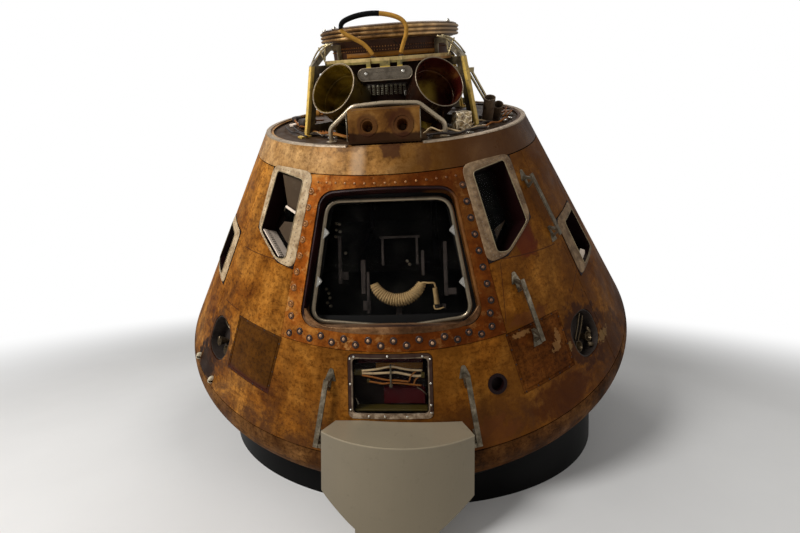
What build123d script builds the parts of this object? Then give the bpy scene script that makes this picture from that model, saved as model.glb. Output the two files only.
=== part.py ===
from build123d import *
import os
from math import asin, atan2, cos, degrees, hypot, radians, sin, sqrt, tan

os.makedirs("parts", exist_ok=True)

# A conical crew capsule as it came back from flight, tilted on a drum plinth.
# Every capsule piece is drawn upright: the dish's lowest point is the origin, the
# capsule's axis is Z and the side hatch faces -Y. finish() then tilts it into place.
# Azimuths are degrees round the axis from the hatch, positive towards +X.

# Outer shape
WIDEST_R = 1955.8
DISH_R = 4693.9
CORNER_R = 195.6
CONE_ANGLE = 33.2
RIM_Z = 2104
SHIELD_T = 60
SKIN_T = 45
PANEL_GAP = 5
FIT = 0.5

# How the capsule stands over the middle of its plinth
CAPSULE_AT = (-29, 256, 728)
TILT_FORWARD = 30.2
TILT_LEFT = 4.1
TURN = -4.8

# Cone wall: seams between the panels
CROWN_SEAM_Z = 1964
SIDE_SEAM = 50.5
REAR_SEAM = 132
FULL_TURN = 360

# Side hatch
HATCH_Z = 1545
SURROUND_LOW_Z = 1150
SURROUND_HALF = 24.1
HATCH_TOP_W = 775
HATCH_LOW_W = 1074
HATCH_UP = 437
HATCH_DOWN = 344
HATCH_ROUND = 100
REVEAL_T = 14
SEAL_W = 44
PANE_T = 6
PANE_DEPTH = 112
REVEAL_SET = 6
SEAL_PROUD = 13

# Windows
FORE_AZ = 34
FORE_Z = 1730
SIDE_IN = 255.4
SIDE_Z = 1365
FRAME_T = 14
FRAME_PROUD = 3
WINDOW_T = 8
WINDOW_DEPTH = 96
WINDOW_REACH = 330
WINDOW_ARC = 14
WINDOW_ROUND = 24
FRAME_ROUND = 10
FRAME_GAP = 3

# Lower equipment bay under the hatch
BAY_Z = 994
BAY_W = 464
BAY_H = 349
BAY_BORDER = 24
BAY_ROUND = 30
BAY_DEPTH = 146

# Access panels, vent, thruster wells and pegs in the lower band
PANEL_AZ = 31.25
PANEL_Z = 1000
PANEL_W = 418
PANEL_H = 358
PANEL_RECESS = 12
PANEL_T = 10
PANEL_ROUND = 8
GROOVE_IN = 15
GROOVE_W = 7
GROOVE_D = 2.5
VENT_AZ = 19.8
VENT_Z = 936
VENT_R = 45
WELL_AZ = 44.5
WELL_Z = 938
WELL_W = 290
WELL_H = 285
WELL_ROUND = 118
WELL_D = 105
PEG_R = 14

# Inner cabin
HULL_DEPTH = 150
HULL_T = 22
HULL_TOP_Z = 1990
WALL_REACH = 300
FLOOR_Z = 800
FLOOR_T = 20

# Forward deck, tunnel and docking ring
DECK_Z = 2080
DECK_T = 18
RIM_T = 8
TUNNEL_R = 396
TUNNEL_T = 14
TUNNEL_LOW_Z = 2000
TUNNEL_TOP_Z = 2612
RING_BORE_OUT = 2
RING_WALL = 72
RING_LIP_W = 14
RING_H = 74
HATCH_LID_Z = 2300
HATCH_LID_T = 40
LID_GAP = 12

# Gussets, canisters and fittings on the deck
GUSSET_AZ = 49
GUSSET_TOP_OUT = 16
GUSSET_KINK_OUT = 138
GUSSET_FOOT_OUT = 122
GUSSET_KINK_Z = 2492
GUSSET_WEB_T = 8
GUSSET_FLANGE_T = 12
GUSSET_FLANGE_W = 34
CAN_AZ = 29
CAN_PITCH = 36
CAN_R = 155
CAN_T = 5
CAN_DEPTH = 196
CAN_REACH = 265.5
CAN_RIM_Z = 2370
SHELF_Z = 2500
SHELF_T = 8
SHELF_REACH = 135.5
SHELF_LIP = 30
RAIL_R = 14
LOOP_R = 12

# Plinth
DRUM_INSET = 329.8
DRUM_T = 30
DRUM_GAP = 14
BASE_T = 12
DRUM_TOP = 2300
PAD_IN = 2
PAD_LOW = 20

CONE_SLOPE = tan(radians(CONE_ANGLE))
CORNER_AT_R = WIDEST_R - CORNER_R
CORNER_AT_Z = DISH_R - sqrt((DISH_R - CORNER_R) ** 2 - CORNER_AT_R ** 2)
DISH_ANGLE = degrees(asin(CORNER_AT_R / (DISH_R - CORNER_R)))
CONE_LOW_R = CORNER_AT_R + CORNER_R * cos(radians(CONE_ANGLE))
CONE_LOW_Z = CORNER_AT_Z + CORNER_R * sin(radians(CONE_ANGLE))
DRUM_R = WIDEST_R - DRUM_INSET
TUNNEL_OUT_R = TUNNEL_R + TUNNEL_T + FIT
RING_BORE_R = TUNNEL_R + RING_BORE_OUT
RING_BODY_R = RING_BORE_R + RING_WALL
RING_R = RING_BODY_R + RING_LIP_W

STANDING = Pos(*CAPSULE_AT) * Rot(Y=-TILT_LEFT) * Rot(X=TILT_FORWARD) * Rot(Z=TURN)


def cone_r(z):
    """Radius of the outer skin at a height."""
    return CONE_LOW_R - (z - CONE_LOW_Z) * CONE_SLOPE


def skin(z, depth=0):
    """Point in a meridian plane, square to the skin at a height and so far below it."""
    slope = radians(CONE_ANGLE)
    return (cone_r(z) - depth * cos(slope), z - depth * sin(slope))


def meridian(azimuth):
    """Sketch plane that holds the axis: local x runs outward, local y up."""
    a = radians(azimuth)
    return Plane(origin=(0, 0, 0), x_dir=(sin(a), -cos(a), 0), z_dir=(-cos(a), -sin(a), 0))


def skin_plane(azimuth, z, depth=0):
    """Sketch plane that touches the skin: local x runs round it, local y up its slope."""
    a = radians(azimuth)
    slope = radians(CONE_ANGLE)
    r, height = skin(z, depth)
    return Plane(
        origin=(r * sin(a), -r * cos(a), height),
        x_dir=(cos(a), sin(a), 0),
        z_dir=(cos(slope) * sin(a), -cos(slope) * cos(a), sin(slope)),
    )


def under_arcs(offset):
    """The dish and the round corner, set off outward, from the axis to the cone's foot."""
    half = radians(DISH_ANGLE / 2)
    full = radians(DISH_ANGLE)
    r = DISH_R + offset
    ThreePointArc(*[(r * sin(t), DISH_R - r * cos(t)) for t in (0, half, full)])
    c = CORNER_R + offset
    low = radians(DISH_ANGLE - 90)
    high = radians(CONE_ANGLE)
    turn = [low, (low + high) / 2, high]
    ThreePointArc(*[(CORNER_AT_R + c * cos(t), CORNER_AT_Z + c * sin(t)) for t in turn])


def band(start, arc, z_low, z_high, outer, inner, mode=Mode.ADD):
    """Part of the cone's wall between two depths, added to the piece in progress."""
    with BuildSketch(meridian(start)) as section:
        with BuildLine():
            corners = [skin(z_low, outer), skin(z_high, outer), skin(z_high, inner), skin(z_low, inner)]
            Polyline(*corners, close=True)
        make_face()
    revolve(section.sketch, axis=Axis.Z, revolution_arc=arc, mode=mode)


def through(plane, points, rounding, mode, grow=0, reach=320):
    """Cut or keep what lies inside an outline that is pushed square through the skin."""
    with BuildSketch(plane) as outline:
        with BuildLine():
            Polyline(*points, close=True)
        make_face()
        if rounding:
            fillet(outline.vertices(), radius=rounding)
        if grow:
            offset(amount=grow, kind=Kind.INTERSECTION)
    extrude(outline.sketch, amount=reach, both=True, mode=mode)


def mirrored(points):
    """The same outline on the capsule's other side."""
    return [(-x, y) for x, y in points]


def box_outline(width, height):
    """Corners of a rectangle about the middle of its plane."""
    x = width / 2
    y = height / 2
    return [(-x, -y), (x, -y), (x, y), (-x, y)]


def finish(piece, node, where=STANDING):
    """Label a finished piece, set it where it stands and write it."""
    piece.part.label = node
    piece.part.location = where
    export_step(piece.part, f"parts/{node}.step")


# Outlines of the openings, in the plane that touches the skin at their middle
HATCH = [
    (-HATCH_LOW_W / 2, -HATCH_DOWN),
    (HATCH_LOW_W / 2, -HATCH_DOWN),
    (HATCH_TOP_W / 2, HATCH_UP),
    (-HATCH_TOP_W / 2, HATCH_UP),
]
FORE_OUTER = [(-200, 300), (171, 300), (175, -115), (-96, -277), (-244, -280)]
FORE_INNER = [(-139, 239), (104, 262), (124, -123), (-88, -251), (-158, -234)]
SIDE_OUTER = [(-199, 217), (188, 217), (220, -200), (-233, -200)]
SIDE_INNER = [(-96, 151), (168, 151), (190, -171), (-109, -171)]
BAY_OUTER = box_outline(BAY_W, BAY_H)
BAY_INNER = box_outline(BAY_W - 2 * BAY_BORDER, BAY_H - 2 * BAY_BORDER)
PANEL = box_outline(PANEL_W, PANEL_H)

# Each window: name, side, azimuth, height, outer outline, opening
SIDE_AZ = SIDE_SEAM + degrees(SIDE_IN / cone_r(SIDE_Z))
WINDOWS = [
    ("fore_window", 1, FORE_AZ, FORE_Z, FORE_OUTER, FORE_INNER),
    ("fore_window", -1, -FORE_AZ, FORE_Z, mirrored(FORE_OUTER), mirrored(FORE_INNER)),
    ("side_window", 1, SIDE_AZ, SIDE_Z, SIDE_OUTER, SIDE_INNER),
    ("side_window", -1, -SIDE_AZ, SIDE_Z, mirrored(SIDE_OUTER), mirrored(SIDE_INNER)),
]
SKIN_TOP_Z = CROWN_SEAM_Z - PANEL_GAP / 2
SKIN_LOW_Z = CONE_LOW_Z + PANEL_GAP
SEAM_AZ = degrees(PANEL_GAP / WIDEST_R)
OVER = 10
HATCH_PLANE = skin_plane(0, HATCH_Z)
BAY_PLANE = skin_plane(0, BAY_Z)
RIM_R = cone_r(RIM_Z)


# Aft heat shield: the shallow dish and the round corner up to the cone
with BuildPart() as aft_heat_shield:
    with BuildSketch(meridian(0)) as shield_section:
        with BuildLine():
            under_arcs(0)
            Line(skin(CONE_LOW_Z, 0), skin(CONE_LOW_Z, SHIELD_T))
            under_arcs(-SHIELD_T)
            Line((0, 0), (0, SHIELD_T))
        make_face()
    revolve(axis=Axis.Z)
finish(aft_heat_shield, "aft_heat_shield")


# Crown: the plain band of skin above the hatch and the windows
with BuildPart() as skin_crown:
    flat = SKIN_T / cos(radians(CONE_ANGLE))
    top_r = cone_r(RIM_Z - RIM_T)
    with BuildSketch(meridian(0)):
        with BuildLine():
            Polyline(
                skin(CROWN_SEAM_Z + PANEL_GAP / 2),
                (top_r, RIM_Z - RIM_T),
                (top_r - flat, RIM_Z - RIM_T),
                skin(CROWN_SEAM_Z + PANEL_GAP / 2, SKIN_T),
                close=True,
            )
        make_face()
    revolve(axis=Axis.Z)
finish(skin_crown, "skin_crown")


def access_patch(side, grow, shallow, deep):
    """Patch of the lower skin the size of an access panel, between two depths."""
    with BuildPart() as patch:
        arc = degrees(PANEL_W / cone_r(PANEL_Z)) + 4
        band(side * PANEL_AZ - arc / 2, arc, PANEL_Z - PANEL_H / 2, PANEL_Z + PANEL_H / 2, shallow, deep)
        through(skin_plane(side * PANEL_AZ, PANEL_Z), PANEL, PANEL_ROUND, Mode.INTERSECT, grow=grow)
    return patch


# Front skin: an open frame round the hatch and the fore windows, whole below them
surround_cut = SURROUND_HALF + SEAM_AZ
surround_low = SURROUND_LOW_Z - FRAME_GAP
panel_recesses = [access_patch(side, 0, -OVER, PANEL_RECESS).part for side in (-1, 1)]
with BuildPart() as skin_front:
    band(-SIDE_SEAM + SEAM_AZ, 2 * SIDE_SEAM - SEAM_AZ, SKIN_LOW_Z, SKIN_TOP_Z, 0, SKIN_T)
    band(-surround_cut, 2 * surround_cut, surround_low, CROWN_SEAM_Z, -OVER, SKIN_T + OVER, Mode.SUBTRACT)
    for name, side, azimuth, z, outer, opening in WINDOWS[:2]:
        through(skin_plane(azimuth, z), outer, FRAME_ROUND, Mode.SUBTRACT, grow=FRAME_GAP)
    through(BAY_PLANE, BAY_OUTER, BAY_ROUND, Mode.SUBTRACT, grow=FRAME_GAP)
    for side in (-1, 1):
        with BuildSketch(skin_plane(side * WELL_AZ, WELL_Z)) as well_hole:
            RectangleRounded(WELL_W, WELL_H, WELL_ROUND)
        extrude(well_hole.sketch, amount=200, both=True, mode=Mode.SUBTRACT)
    for recess in panel_recesses:
        add(recess, mode=Mode.SUBTRACT)
    with BuildSketch(skin_plane(VENT_AZ, VENT_Z)) as vent_hole:
        Circle(VENT_R)
    extrude(vent_hole.sketch, amount=200, both=True, mode=Mode.SUBTRACT)
finish(skin_front, "skin_front")


def side_skin(start, arc, windows):
    """Skin panel beside or behind the front one."""
    with BuildPart() as panel:
        band(start + SEAM_AZ, arc - SEAM_AZ, SKIN_LOW_Z, SKIN_TOP_Z, 0, SKIN_T)
        for name, side, azimuth, z, outer, opening in windows:
            through(skin_plane(azimuth, z), outer, FRAME_ROUND, Mode.SUBTRACT, grow=FRAME_GAP)
    return panel


# Side and rear skins
finish(side_skin(SIDE_SEAM, REAR_SEAM - SIDE_SEAM, WINDOWS[2:3]), "skin_right")
finish(side_skin(-REAR_SEAM, REAR_SEAM - SIDE_SEAM, WINDOWS[3:4]), "skin_left")
finish(side_skin(REAR_SEAM, FULL_TURN - 2 * REAR_SEAM, []), "skin_rear")


# Bolted surround of the side hatch: a curved plate as thick as the skin
with BuildPart() as hatch_surround:
    band(-SURROUND_HALF, 2 * SURROUND_HALF, SURROUND_LOW_Z, SKIN_TOP_Z, -2, SKIN_T)
    through(HATCH_PLANE, HATCH, HATCH_ROUND, Mode.SUBTRACT)
finish(hatch_surround, "hatch_surround")


def hatch_ring(outer_grow, inner_grow, shallow, deep):
    """Ring or plate inside the hatch opening, between two depths below the skin."""
    with BuildPart() as ring:
        band(-SURROUND_HALF, 2 * SURROUND_HALF, SURROUND_LOW_Z, SKIN_TOP_Z, shallow, deep)
        through(HATCH_PLANE, HATCH, HATCH_ROUND, Mode.INTERSECT, grow=outer_grow)
        if inner_grow is not None:
            through(HATCH_PLANE, HATCH, HATCH_ROUND, Mode.SUBTRACT, grow=inner_grow)
    return ring


# Hatch reveal, its lip, the metal seal frame and the clear pane fixed in it
reveal_in = -1 - REVEAL_T
seal_in = reveal_in - 1 - SEAL_W
seal_low = PANE_DEPTH + PANE_T + SEAL_PROUD
finish(hatch_ring(-1, reveal_in, REVEAL_SET, HULL_DEPTH - 1), "hatch_reveal")
finish(hatch_ring(reveal_in - 1, seal_in, PANE_DEPTH - SEAL_PROUD, seal_low), "hatch_seal_frame")
finish(hatch_ring(seal_in - 1, None, PANE_DEPTH, PANE_DEPTH + PANE_T), "hatch_pane")


def window_part(window, kind):
    """Border plate, reveal or pane of one window."""
    name, side, azimuth, z, outer, opening = window
    plane = skin_plane(azimuth, z)
    low = z - WINDOW_REACH
    high = min(z + WINDOW_REACH, SKIN_TOP_Z)
    near = max(abs(azimuth) - WINDOW_ARC, SURROUND_HALF + SEAM_AZ)
    arc = abs(azimuth) + WINDOW_ARC - near
    start = near if side > 0 else -near - arc
    with BuildPart() as piece:
        if kind == "frame":
            band(start, arc, low, high, -FRAME_PROUD, FRAME_T - FRAME_PROUD)
            through(plane, outer, FRAME_ROUND, Mode.INTERSECT)
            through(plane, opening, WINDOW_ROUND, Mode.SUBTRACT)
        elif kind == "reveal":
            band(start, arc, low, high, FRAME_T - FRAME_PROUD, HULL_DEPTH - 1)
            through(plane, opening, WINDOW_ROUND, Mode.INTERSECT, grow=REVEAL_T)
            through(plane, opening, WINDOW_ROUND, Mode.SUBTRACT)
        else:
            band(start, arc, low, high, WINDOW_DEPTH, WINDOW_DEPTH + WINDOW_T)
            through(plane, opening, WINDOW_ROUND, Mode.INTERSECT, grow=-0.5)
    return piece


def join(pieces):
    """Like pieces of one body in one node."""
    with BuildPart() as group:
        for piece in pieces:
            add(piece.part)
    return group


# Window borders, reveals and panes, in pairs
for name in ("fore_window", "side_window"):
    pair = [window for window in WINDOWS if window[0] == name]
    for kind in ("frame", "reveal", "pane"):
        finish(join([window_part(window, kind) for window in pair]), f"{name}_{kind}s")


# Lower equipment bay: metal border, clear cover and the tray behind it
bay_arc = degrees(BAY_W / cone_r(BAY_Z)) + 4
bay_low = BAY_Z - BAY_H / 2
bay_high = BAY_Z + BAY_H / 2
cover_depth = FRAME_T + FIT
bay_in_round = BAY_ROUND - 8
with BuildPart() as bay_frame:
    band(-bay_arc / 2, bay_arc, bay_low, bay_high, -FRAME_PROUD, FRAME_T)
    through(BAY_PLANE, BAY_OUTER, BAY_ROUND, Mode.INTERSECT)
    through(BAY_PLANE, BAY_INNER, bay_in_round, Mode.SUBTRACT)
finish(bay_frame, "bay_frame")

with BuildPart() as bay_cover:
    band(-bay_arc / 2, bay_arc, bay_low, bay_high, cover_depth, cover_depth + PANE_T)
    through(BAY_PLANE, BAY_INNER, bay_in_round, Mode.INTERSECT, grow=BAY_BORDER / 2)
finish(bay_cover, "bay_cover")

TRAY_T = 4
TRAY_GAP = 4
TRAY_SET = 12
tray_w = BAY_W - 2 * TRAY_GAP
tray_h = BAY_H - 2 * TRAY_GAP
with BuildPart() as bay_tray:
    with BuildSketch(BAY_PLANE.offset(-BAY_DEPTH)) as tray_back:
        RectangleRounded(tray_w, tray_h, BAY_ROUND - TRAY_GAP)
    extrude(tray_back.sketch, amount=BAY_DEPTH - FRAME_T - PANE_T - TRAY_SET)
    with BuildSketch(BAY_PLANE.offset(-BAY_DEPTH + TRAY_T)) as tray_room:
        RectangleRounded(tray_w - 2 * TRAY_T, tray_h - 2 * TRAY_T, BAY_ROUND - TRAY_GAP - TRAY_T)
    extrude(tray_room.sketch, amount=BAY_DEPTH, mode=Mode.SUBTRACT)
finish(bay_tray, "bay_tray")

# Wiring in the bay: three bundles that cross it one above the other
BUNDLES = [
    [(-196, -120), (-150, -40), (-60, 20), (60, 10), (150, 60), (196, 130)],
    [(-196, 120), (-120, 100), (-30, 60), (40, -50), (140, -90), (196, -120)],
    [(-100, -156), (-90, -90), (-20, -60), (60, -70), (110, -110), (120, -156)],
]
BUNDLE_R = 9
BUNDLE_STEP = 22
BUNDLE_BEND = 28
with BuildPart() as bay_harness:
    for row, points in enumerate(BUNDLES):
        level = BAY_PLANE.offset(-BAY_DEPTH + TRAY_T + BUNDLE_R + 3 + row * BUNDLE_STEP)
        with BuildLine(level) as run:
            FilletPolyline(*points, radius=[BUNDLE_BEND] * (len(points) - 2))
        with BuildSketch(Plane(origin=run.line @ 0, z_dir=run.line % 0)) as strand:
            Circle(BUNDLE_R)
        sweep(strand.sketch, path=run.line)
finish(bay_harness, "bay_harness")


# Access panels either side of the bay
def access_panel(side):
    """Curved plate screwed into a recess in the lower skin, a groove round its edge."""
    face = PANEL_RECESS - FIT - PANEL_T
    blank = access_patch(side, -FRAME_GAP, face, PANEL_RECESS - FIT).part
    groove_out = access_patch(side, -GROOVE_IN, -OVER, face + GROOVE_D).part
    groove_in = access_patch(side, -GROOVE_IN - GROOVE_W, -OVER, PANEL_RECESS).part
    with BuildPart() as groove:
        add(groove_out)
        add(groove_in, mode=Mode.SUBTRACT)
    with BuildPart() as plate:
        add(blank)
        add(groove.part, mode=Mode.SUBTRACT)
    return plate


finish(access_panel(-1), "access_panel_left")
finish(access_panel(1), "access_panel_right")


# Wells of the side thrusters: a round-cornered cup with two nozzle bells low in it
WELL_T = 6
WELL_GAP = 3
WELL_SET = 8
NOZZLE_R = 34
NOZZLE_THROAT = 0.45
NOZZLE_L = 62
NOZZLE_WALL = 3
NOZZLE_FOOT = 14
NOZZLE_GAP = 128
NOZZLE_DROP = 62
cup_w = WELL_W - 2 * WELL_GAP
cup_h = WELL_H - 2 * WELL_GAP
with BuildPart() as thruster_wells:
    for side in (-1, 1):
        plane = skin_plane(side * WELL_AZ, WELL_Z)
        with BuildSketch(plane.offset(-WELL_D)) as cup:
            RectangleRounded(cup_w, cup_h, WELL_ROUND - WELL_GAP)
        extrude(cup.sketch, amount=WELL_D - WELL_SET)
        with BuildSketch(plane.offset(-WELL_D + WELL_T)) as room:
            RectangleRounded(cup_w - 2 * WELL_T, cup_h - 2 * WELL_T, WELL_ROUND - WELL_GAP - WELL_T)
        extrude(room.sketch, amount=WELL_D, mode=Mode.SUBTRACT)
finish(thruster_wells, "thruster_wells")

with BuildPart() as thruster_nozzles:
    for side in (-1, 1):
        for step in (-0.5, 0.5):
            floor = skin_plane(side * WELL_AZ, WELL_Z).offset(-WELL_D + WELL_T)
            centre = floor.from_local_coords((step * NOZZLE_GAP, -NOZZLE_DROP, 0))
            base = Plane(origin=centre, z_dir=floor.z_dir)
            with BuildSketch(base) as throat:
                Circle(NOZZLE_R * NOZZLE_THROAT)
            with BuildSketch(base.offset(NOZZLE_L)) as mouth:
                Circle(NOZZLE_R)
            loft([throat.sketch.face(), mouth.sketch.face()])
            with BuildSketch(base.offset(NOZZLE_FOOT)) as throat_in:
                Circle(NOZZLE_R * NOZZLE_THROAT - NOZZLE_WALL)
            with BuildSketch(base.offset(NOZZLE_L)) as mouth_in:
                Circle(NOZZLE_R - NOZZLE_WALL)
            loft([throat_in.sketch.face(), mouth_in.sketch.face()], mode=Mode.SUBTRACT)
finish(thruster_nozzles, "thruster_nozzles")

# Round vent with a ring and a closed cup
VENT_LIP = 12
VENT_LIP_T = 5
VENT_WALL = 6
with BuildPart() as vent:
    vent_plane = skin_plane(VENT_AZ, VENT_Z)
    with BuildSketch(vent_plane.offset(-SKIN_T)) as vent_body:
        Circle(VENT_R - 1)
    extrude(vent_body.sketch, amount=SKIN_T + 1)
    with BuildSketch(vent_plane.offset(FIT)) as vent_lip:
        Circle(VENT_R + VENT_LIP)
    extrude(vent_lip.sketch, amount=VENT_LIP_T)
    with BuildSketch(vent_plane.offset(-SKIN_T + VENT_WALL)) as vent_hollow:
        Circle(VENT_R - 1 - VENT_WALL)
    extrude(vent_hollow.sketch, amount=SKIN_T + VENT_LIP_T, mode=Mode.SUBTRACT)
finish(vent, "vent")

# Two rounded pegs low on the left
PEGS = [(-51.5, 700), (-42.2, 702)]
PEG_L = 54
PEG_PROUD = 26
PEG_TAPER = 8
with BuildPart() as release_pegs:
    for azimuth, z in PEGS:
        foot = skin_plane(azimuth, z)
        with BuildSketch(foot.offset(FIT)) as peg:
            SlotOverall(PEG_L, 2 * PEG_R, rotation=90)
        extrude(peg.sketch, amount=PEG_PROUD, taper=PEG_TAPER)
finish(release_pegs, "release_pegs")


# Handrails: a flat bar on two triangular brackets
RAIL_STANDOFF = 50
RAIL_BAR_T = 9
RAIL_BAR_W = 28
BRACKET_L = 78
BRACKET_T = 5
BRACKET_W = 22
BRACKET_TOP = 0.34
BRACKET_OPEN = 0.22
RAIL_SHORT = 6


def handrail(low, high):
    """Handrail along the skin between two (azimuth, z) points."""
    start = skin_plane(*low).origin
    end = skin_plane(*high).origin
    middle = skin_plane((low[0] + high[0]) / 2, (low[1] + high[1]) / 2)
    along = end - start
    side = Plane(origin=start, x_dir=along, z_dir=along.cross(middle.z_dir))
    length = along.length
    with BuildPart() as rail:
        with BuildSketch(side) as bar:
            with BuildLine():
                Polyline(
                    (RAIL_SHORT, RAIL_STANDOFF),
                    (length - RAIL_SHORT, RAIL_STANDOFF),
                    (length - RAIL_SHORT, RAIL_STANDOFF + RAIL_BAR_T),
                    (RAIL_SHORT, RAIL_STANDOFF + RAIL_BAR_T),
                    close=True,
                )
            make_face()
        extrude(bar.sketch, amount=RAIL_BAR_W / 2, both=True)
        for first in (0, length - BRACKET_L):
            with BuildSketch(side) as bracket:
                with BuildLine():
                    Polyline(
                        (first, FIT),
                        (first + BRACKET_L, FIT),
                        (first + BRACKET_L, FIT + BRACKET_T),
                        (first + BRACKET_L * (1 - BRACKET_TOP), RAIL_STANDOFF),
                        (first + BRACKET_L * BRACKET_TOP, RAIL_STANDOFF),
                        (first, FIT + BRACKET_T),
                        close=True,
                    )
                make_face()
                with BuildLine():
                    Polyline(
                        (first + BRACKET_L * BRACKET_OPEN, FIT + BRACKET_T),
                        (first + BRACKET_L * (1 - BRACKET_OPEN), FIT + BRACKET_T),
                        (first + BRACKET_L * 0.5, RAIL_STANDOFF - BRACKET_T),
                        close=True,
                    )
                make_face(mode=Mode.SUBTRACT)
            extrude(bracket.sketch, amount=BRACKET_W / 2, both=True)
    return rail


UPPER_RAILS = [((47.5, 1474), (45.8, 1835)), ((30.5, 1055), (29.9, 1377))]
LOWER_RAILS = [((-12.4, 700), (-11.4, 1020)), ((14.1, 700), (13.9, 1020))]
finish(join([handrail(low, high) for low, high in UPPER_RAILS]), "upper_handrails")
finish(join([handrail(low, high) for low, high in LOWER_RAILS]), "lower_handrails")


# Cabin: the inner wall with its top, open at the hatch, the windows and the tunnel
with BuildPart() as cabin_wall:
    flat_t = HULL_T / cos(radians(CONE_ANGLE))
    foot = cone_r(FLOOR_Z) - HULL_DEPTH / cos(radians(CONE_ANGLE))
    shoulder = cone_r(HULL_TOP_Z) - HULL_DEPTH / cos(radians(CONE_ANGLE))
    with BuildSketch(meridian(0)):
        with BuildLine():
            Polyline(
                (foot, FLOOR_Z),
                (shoulder, HULL_TOP_Z),
                (TUNNEL_OUT_R, HULL_TOP_Z),
                (TUNNEL_OUT_R, HULL_TOP_Z - HULL_T),
                (shoulder + HULL_T * CONE_SLOPE - flat_t, HULL_TOP_Z - HULL_T),
                (foot - flat_t, FLOOR_Z),
                close=True,
            )
        make_face()
    revolve(axis=Axis.Z)
    with BuildSketch(HATCH_PLANE) as door_way:
        with BuildLine():
            Polyline(*HATCH, close=True)
        make_face()
        fillet(door_way.vertices(), radius=HATCH_ROUND)
    extrude(door_way.sketch, amount=-WALL_REACH, mode=Mode.SUBTRACT)
    for name, side, azimuth, z, outer, opening in WINDOWS:
        with BuildSketch(skin_plane(azimuth, z)) as port:
            with BuildLine():
                Polyline(*opening, close=True)
            make_face()
        extrude(port.sketch, amount=-WALL_REACH, mode=Mode.SUBTRACT)
finish(cabin_wall, "cabin_wall")

with BuildPart() as cabin_floor:
    with BuildSketch(Plane.XY.offset(FLOOR_Z - FLOOR_T - 1)):
        Circle(foot - 2)
    extrude(amount=FLOOR_T)
finish(cabin_floor, "cabin_floor")

# Ring that stands the cabin floor on the aft shield
SEAT_INSET = 555.8
SEAT_T = 20
SEAT_GAP = 4
with BuildPart() as cabin_seat:
    seat_r = WIDEST_R - SEAT_INSET
    seat_low = DISH_R - sqrt((DISH_R - SHIELD_T) ** 2 - seat_r**2) + SEAT_GAP
    with BuildSketch(Plane.XY.offset(seat_low)):
        Circle(seat_r)
        Circle(seat_r - SEAT_T, mode=Mode.SUBTRACT)
    extrude(amount=FLOOR_Z - FLOOR_T - 2 - seat_low)
finish(cabin_seat, "cabin_seat")

# Three couches side by side: a back, a seat and a head pad on side rails
COUCH_W = 560
COUCH_GAP = 60
COUCH_Z = 1010
COUCH_T = 70
COUCH_SIDE = [(-560, 0), (330, 0), (520, 330), (450, 360), (290, COUCH_T), (-560, COUCH_T)]
CROSS_RAIL = 50
CROSS_RAIL_YS = (-420, 260)
COUCH_LEG = 60
COUCH_LEG_X = 760
with BuildPart() as couches:
    for place in (-1, 0, 1):
        left = place * (COUCH_W + COUCH_GAP)
        with BuildSketch(Plane(origin=(left, 0, COUCH_Z), x_dir=(0, 1, 0), z_dir=(1, 0, 0))) as side_view:
            with BuildLine():
                Polyline(*COUCH_SIDE, close=True)
            make_face()
        extrude(side_view.sketch, amount=COUCH_W / 2, both=True)
    for y in CROSS_RAIL_YS:
        with Locations((0, y, COUCH_Z - CROSS_RAIL / 2 + 1)):
            Box(3 * COUCH_W + 2 * COUCH_GAP, CROSS_RAIL, CROSS_RAIL)
        for x in (-COUCH_LEG_X, COUCH_LEG_X):
            with Locations((x, y, (FLOOR_Z + COUCH_Z) / 2)):
                Box(COUCH_LEG, COUCH_LEG, COUCH_Z - FLOOR_Z - 2 * FIT)
finish(couches, "couches")

# Instrument panel across the cabin, over the couches' feet
DASH_AT = (0, 330, 1560)
DASH_LEAN = 20
DASH_LOW_W = 1400
DASH_TOP_W = 1120
DASH_DOWN = 200
DASH_UP = 230
DASH_T = 60
DASH_LEG = 40
DASH_LEG_TOP = 1400
with BuildPart() as instrument_panel:
    lean = radians(DASH_LEAN)
    dash_plane = Plane(origin=DASH_AT, x_dir=(1, 0, 0), z_dir=(0, -cos(lean), -sin(lean)))
    with BuildSketch(dash_plane) as panel_face:
        with BuildLine():
            Polyline(
                (-DASH_LOW_W / 2, -DASH_DOWN),
                (DASH_LOW_W / 2, -DASH_DOWN),
                (DASH_TOP_W / 2, DASH_UP),
                (-DASH_TOP_W / 2, DASH_UP),
                close=True,
            )
        make_face()
    extrude(panel_face.sketch, amount=-DASH_T)
    leg_h = DASH_LEG_TOP - FLOOR_Z
    leg_y = dash_plane.from_local_coords((0, -DASH_DOWN, -DASH_T / 2)).Y
    for side in (-1, 1):
        with Locations((side * (COUCH_W + COUCH_GAP) / 2, leg_y, FLOOR_Z + FIT + leg_h / 2)):
            Box(DASH_LEG, DASH_LEG, leg_h)
finish(instrument_panel, "instrument_panel")

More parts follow.
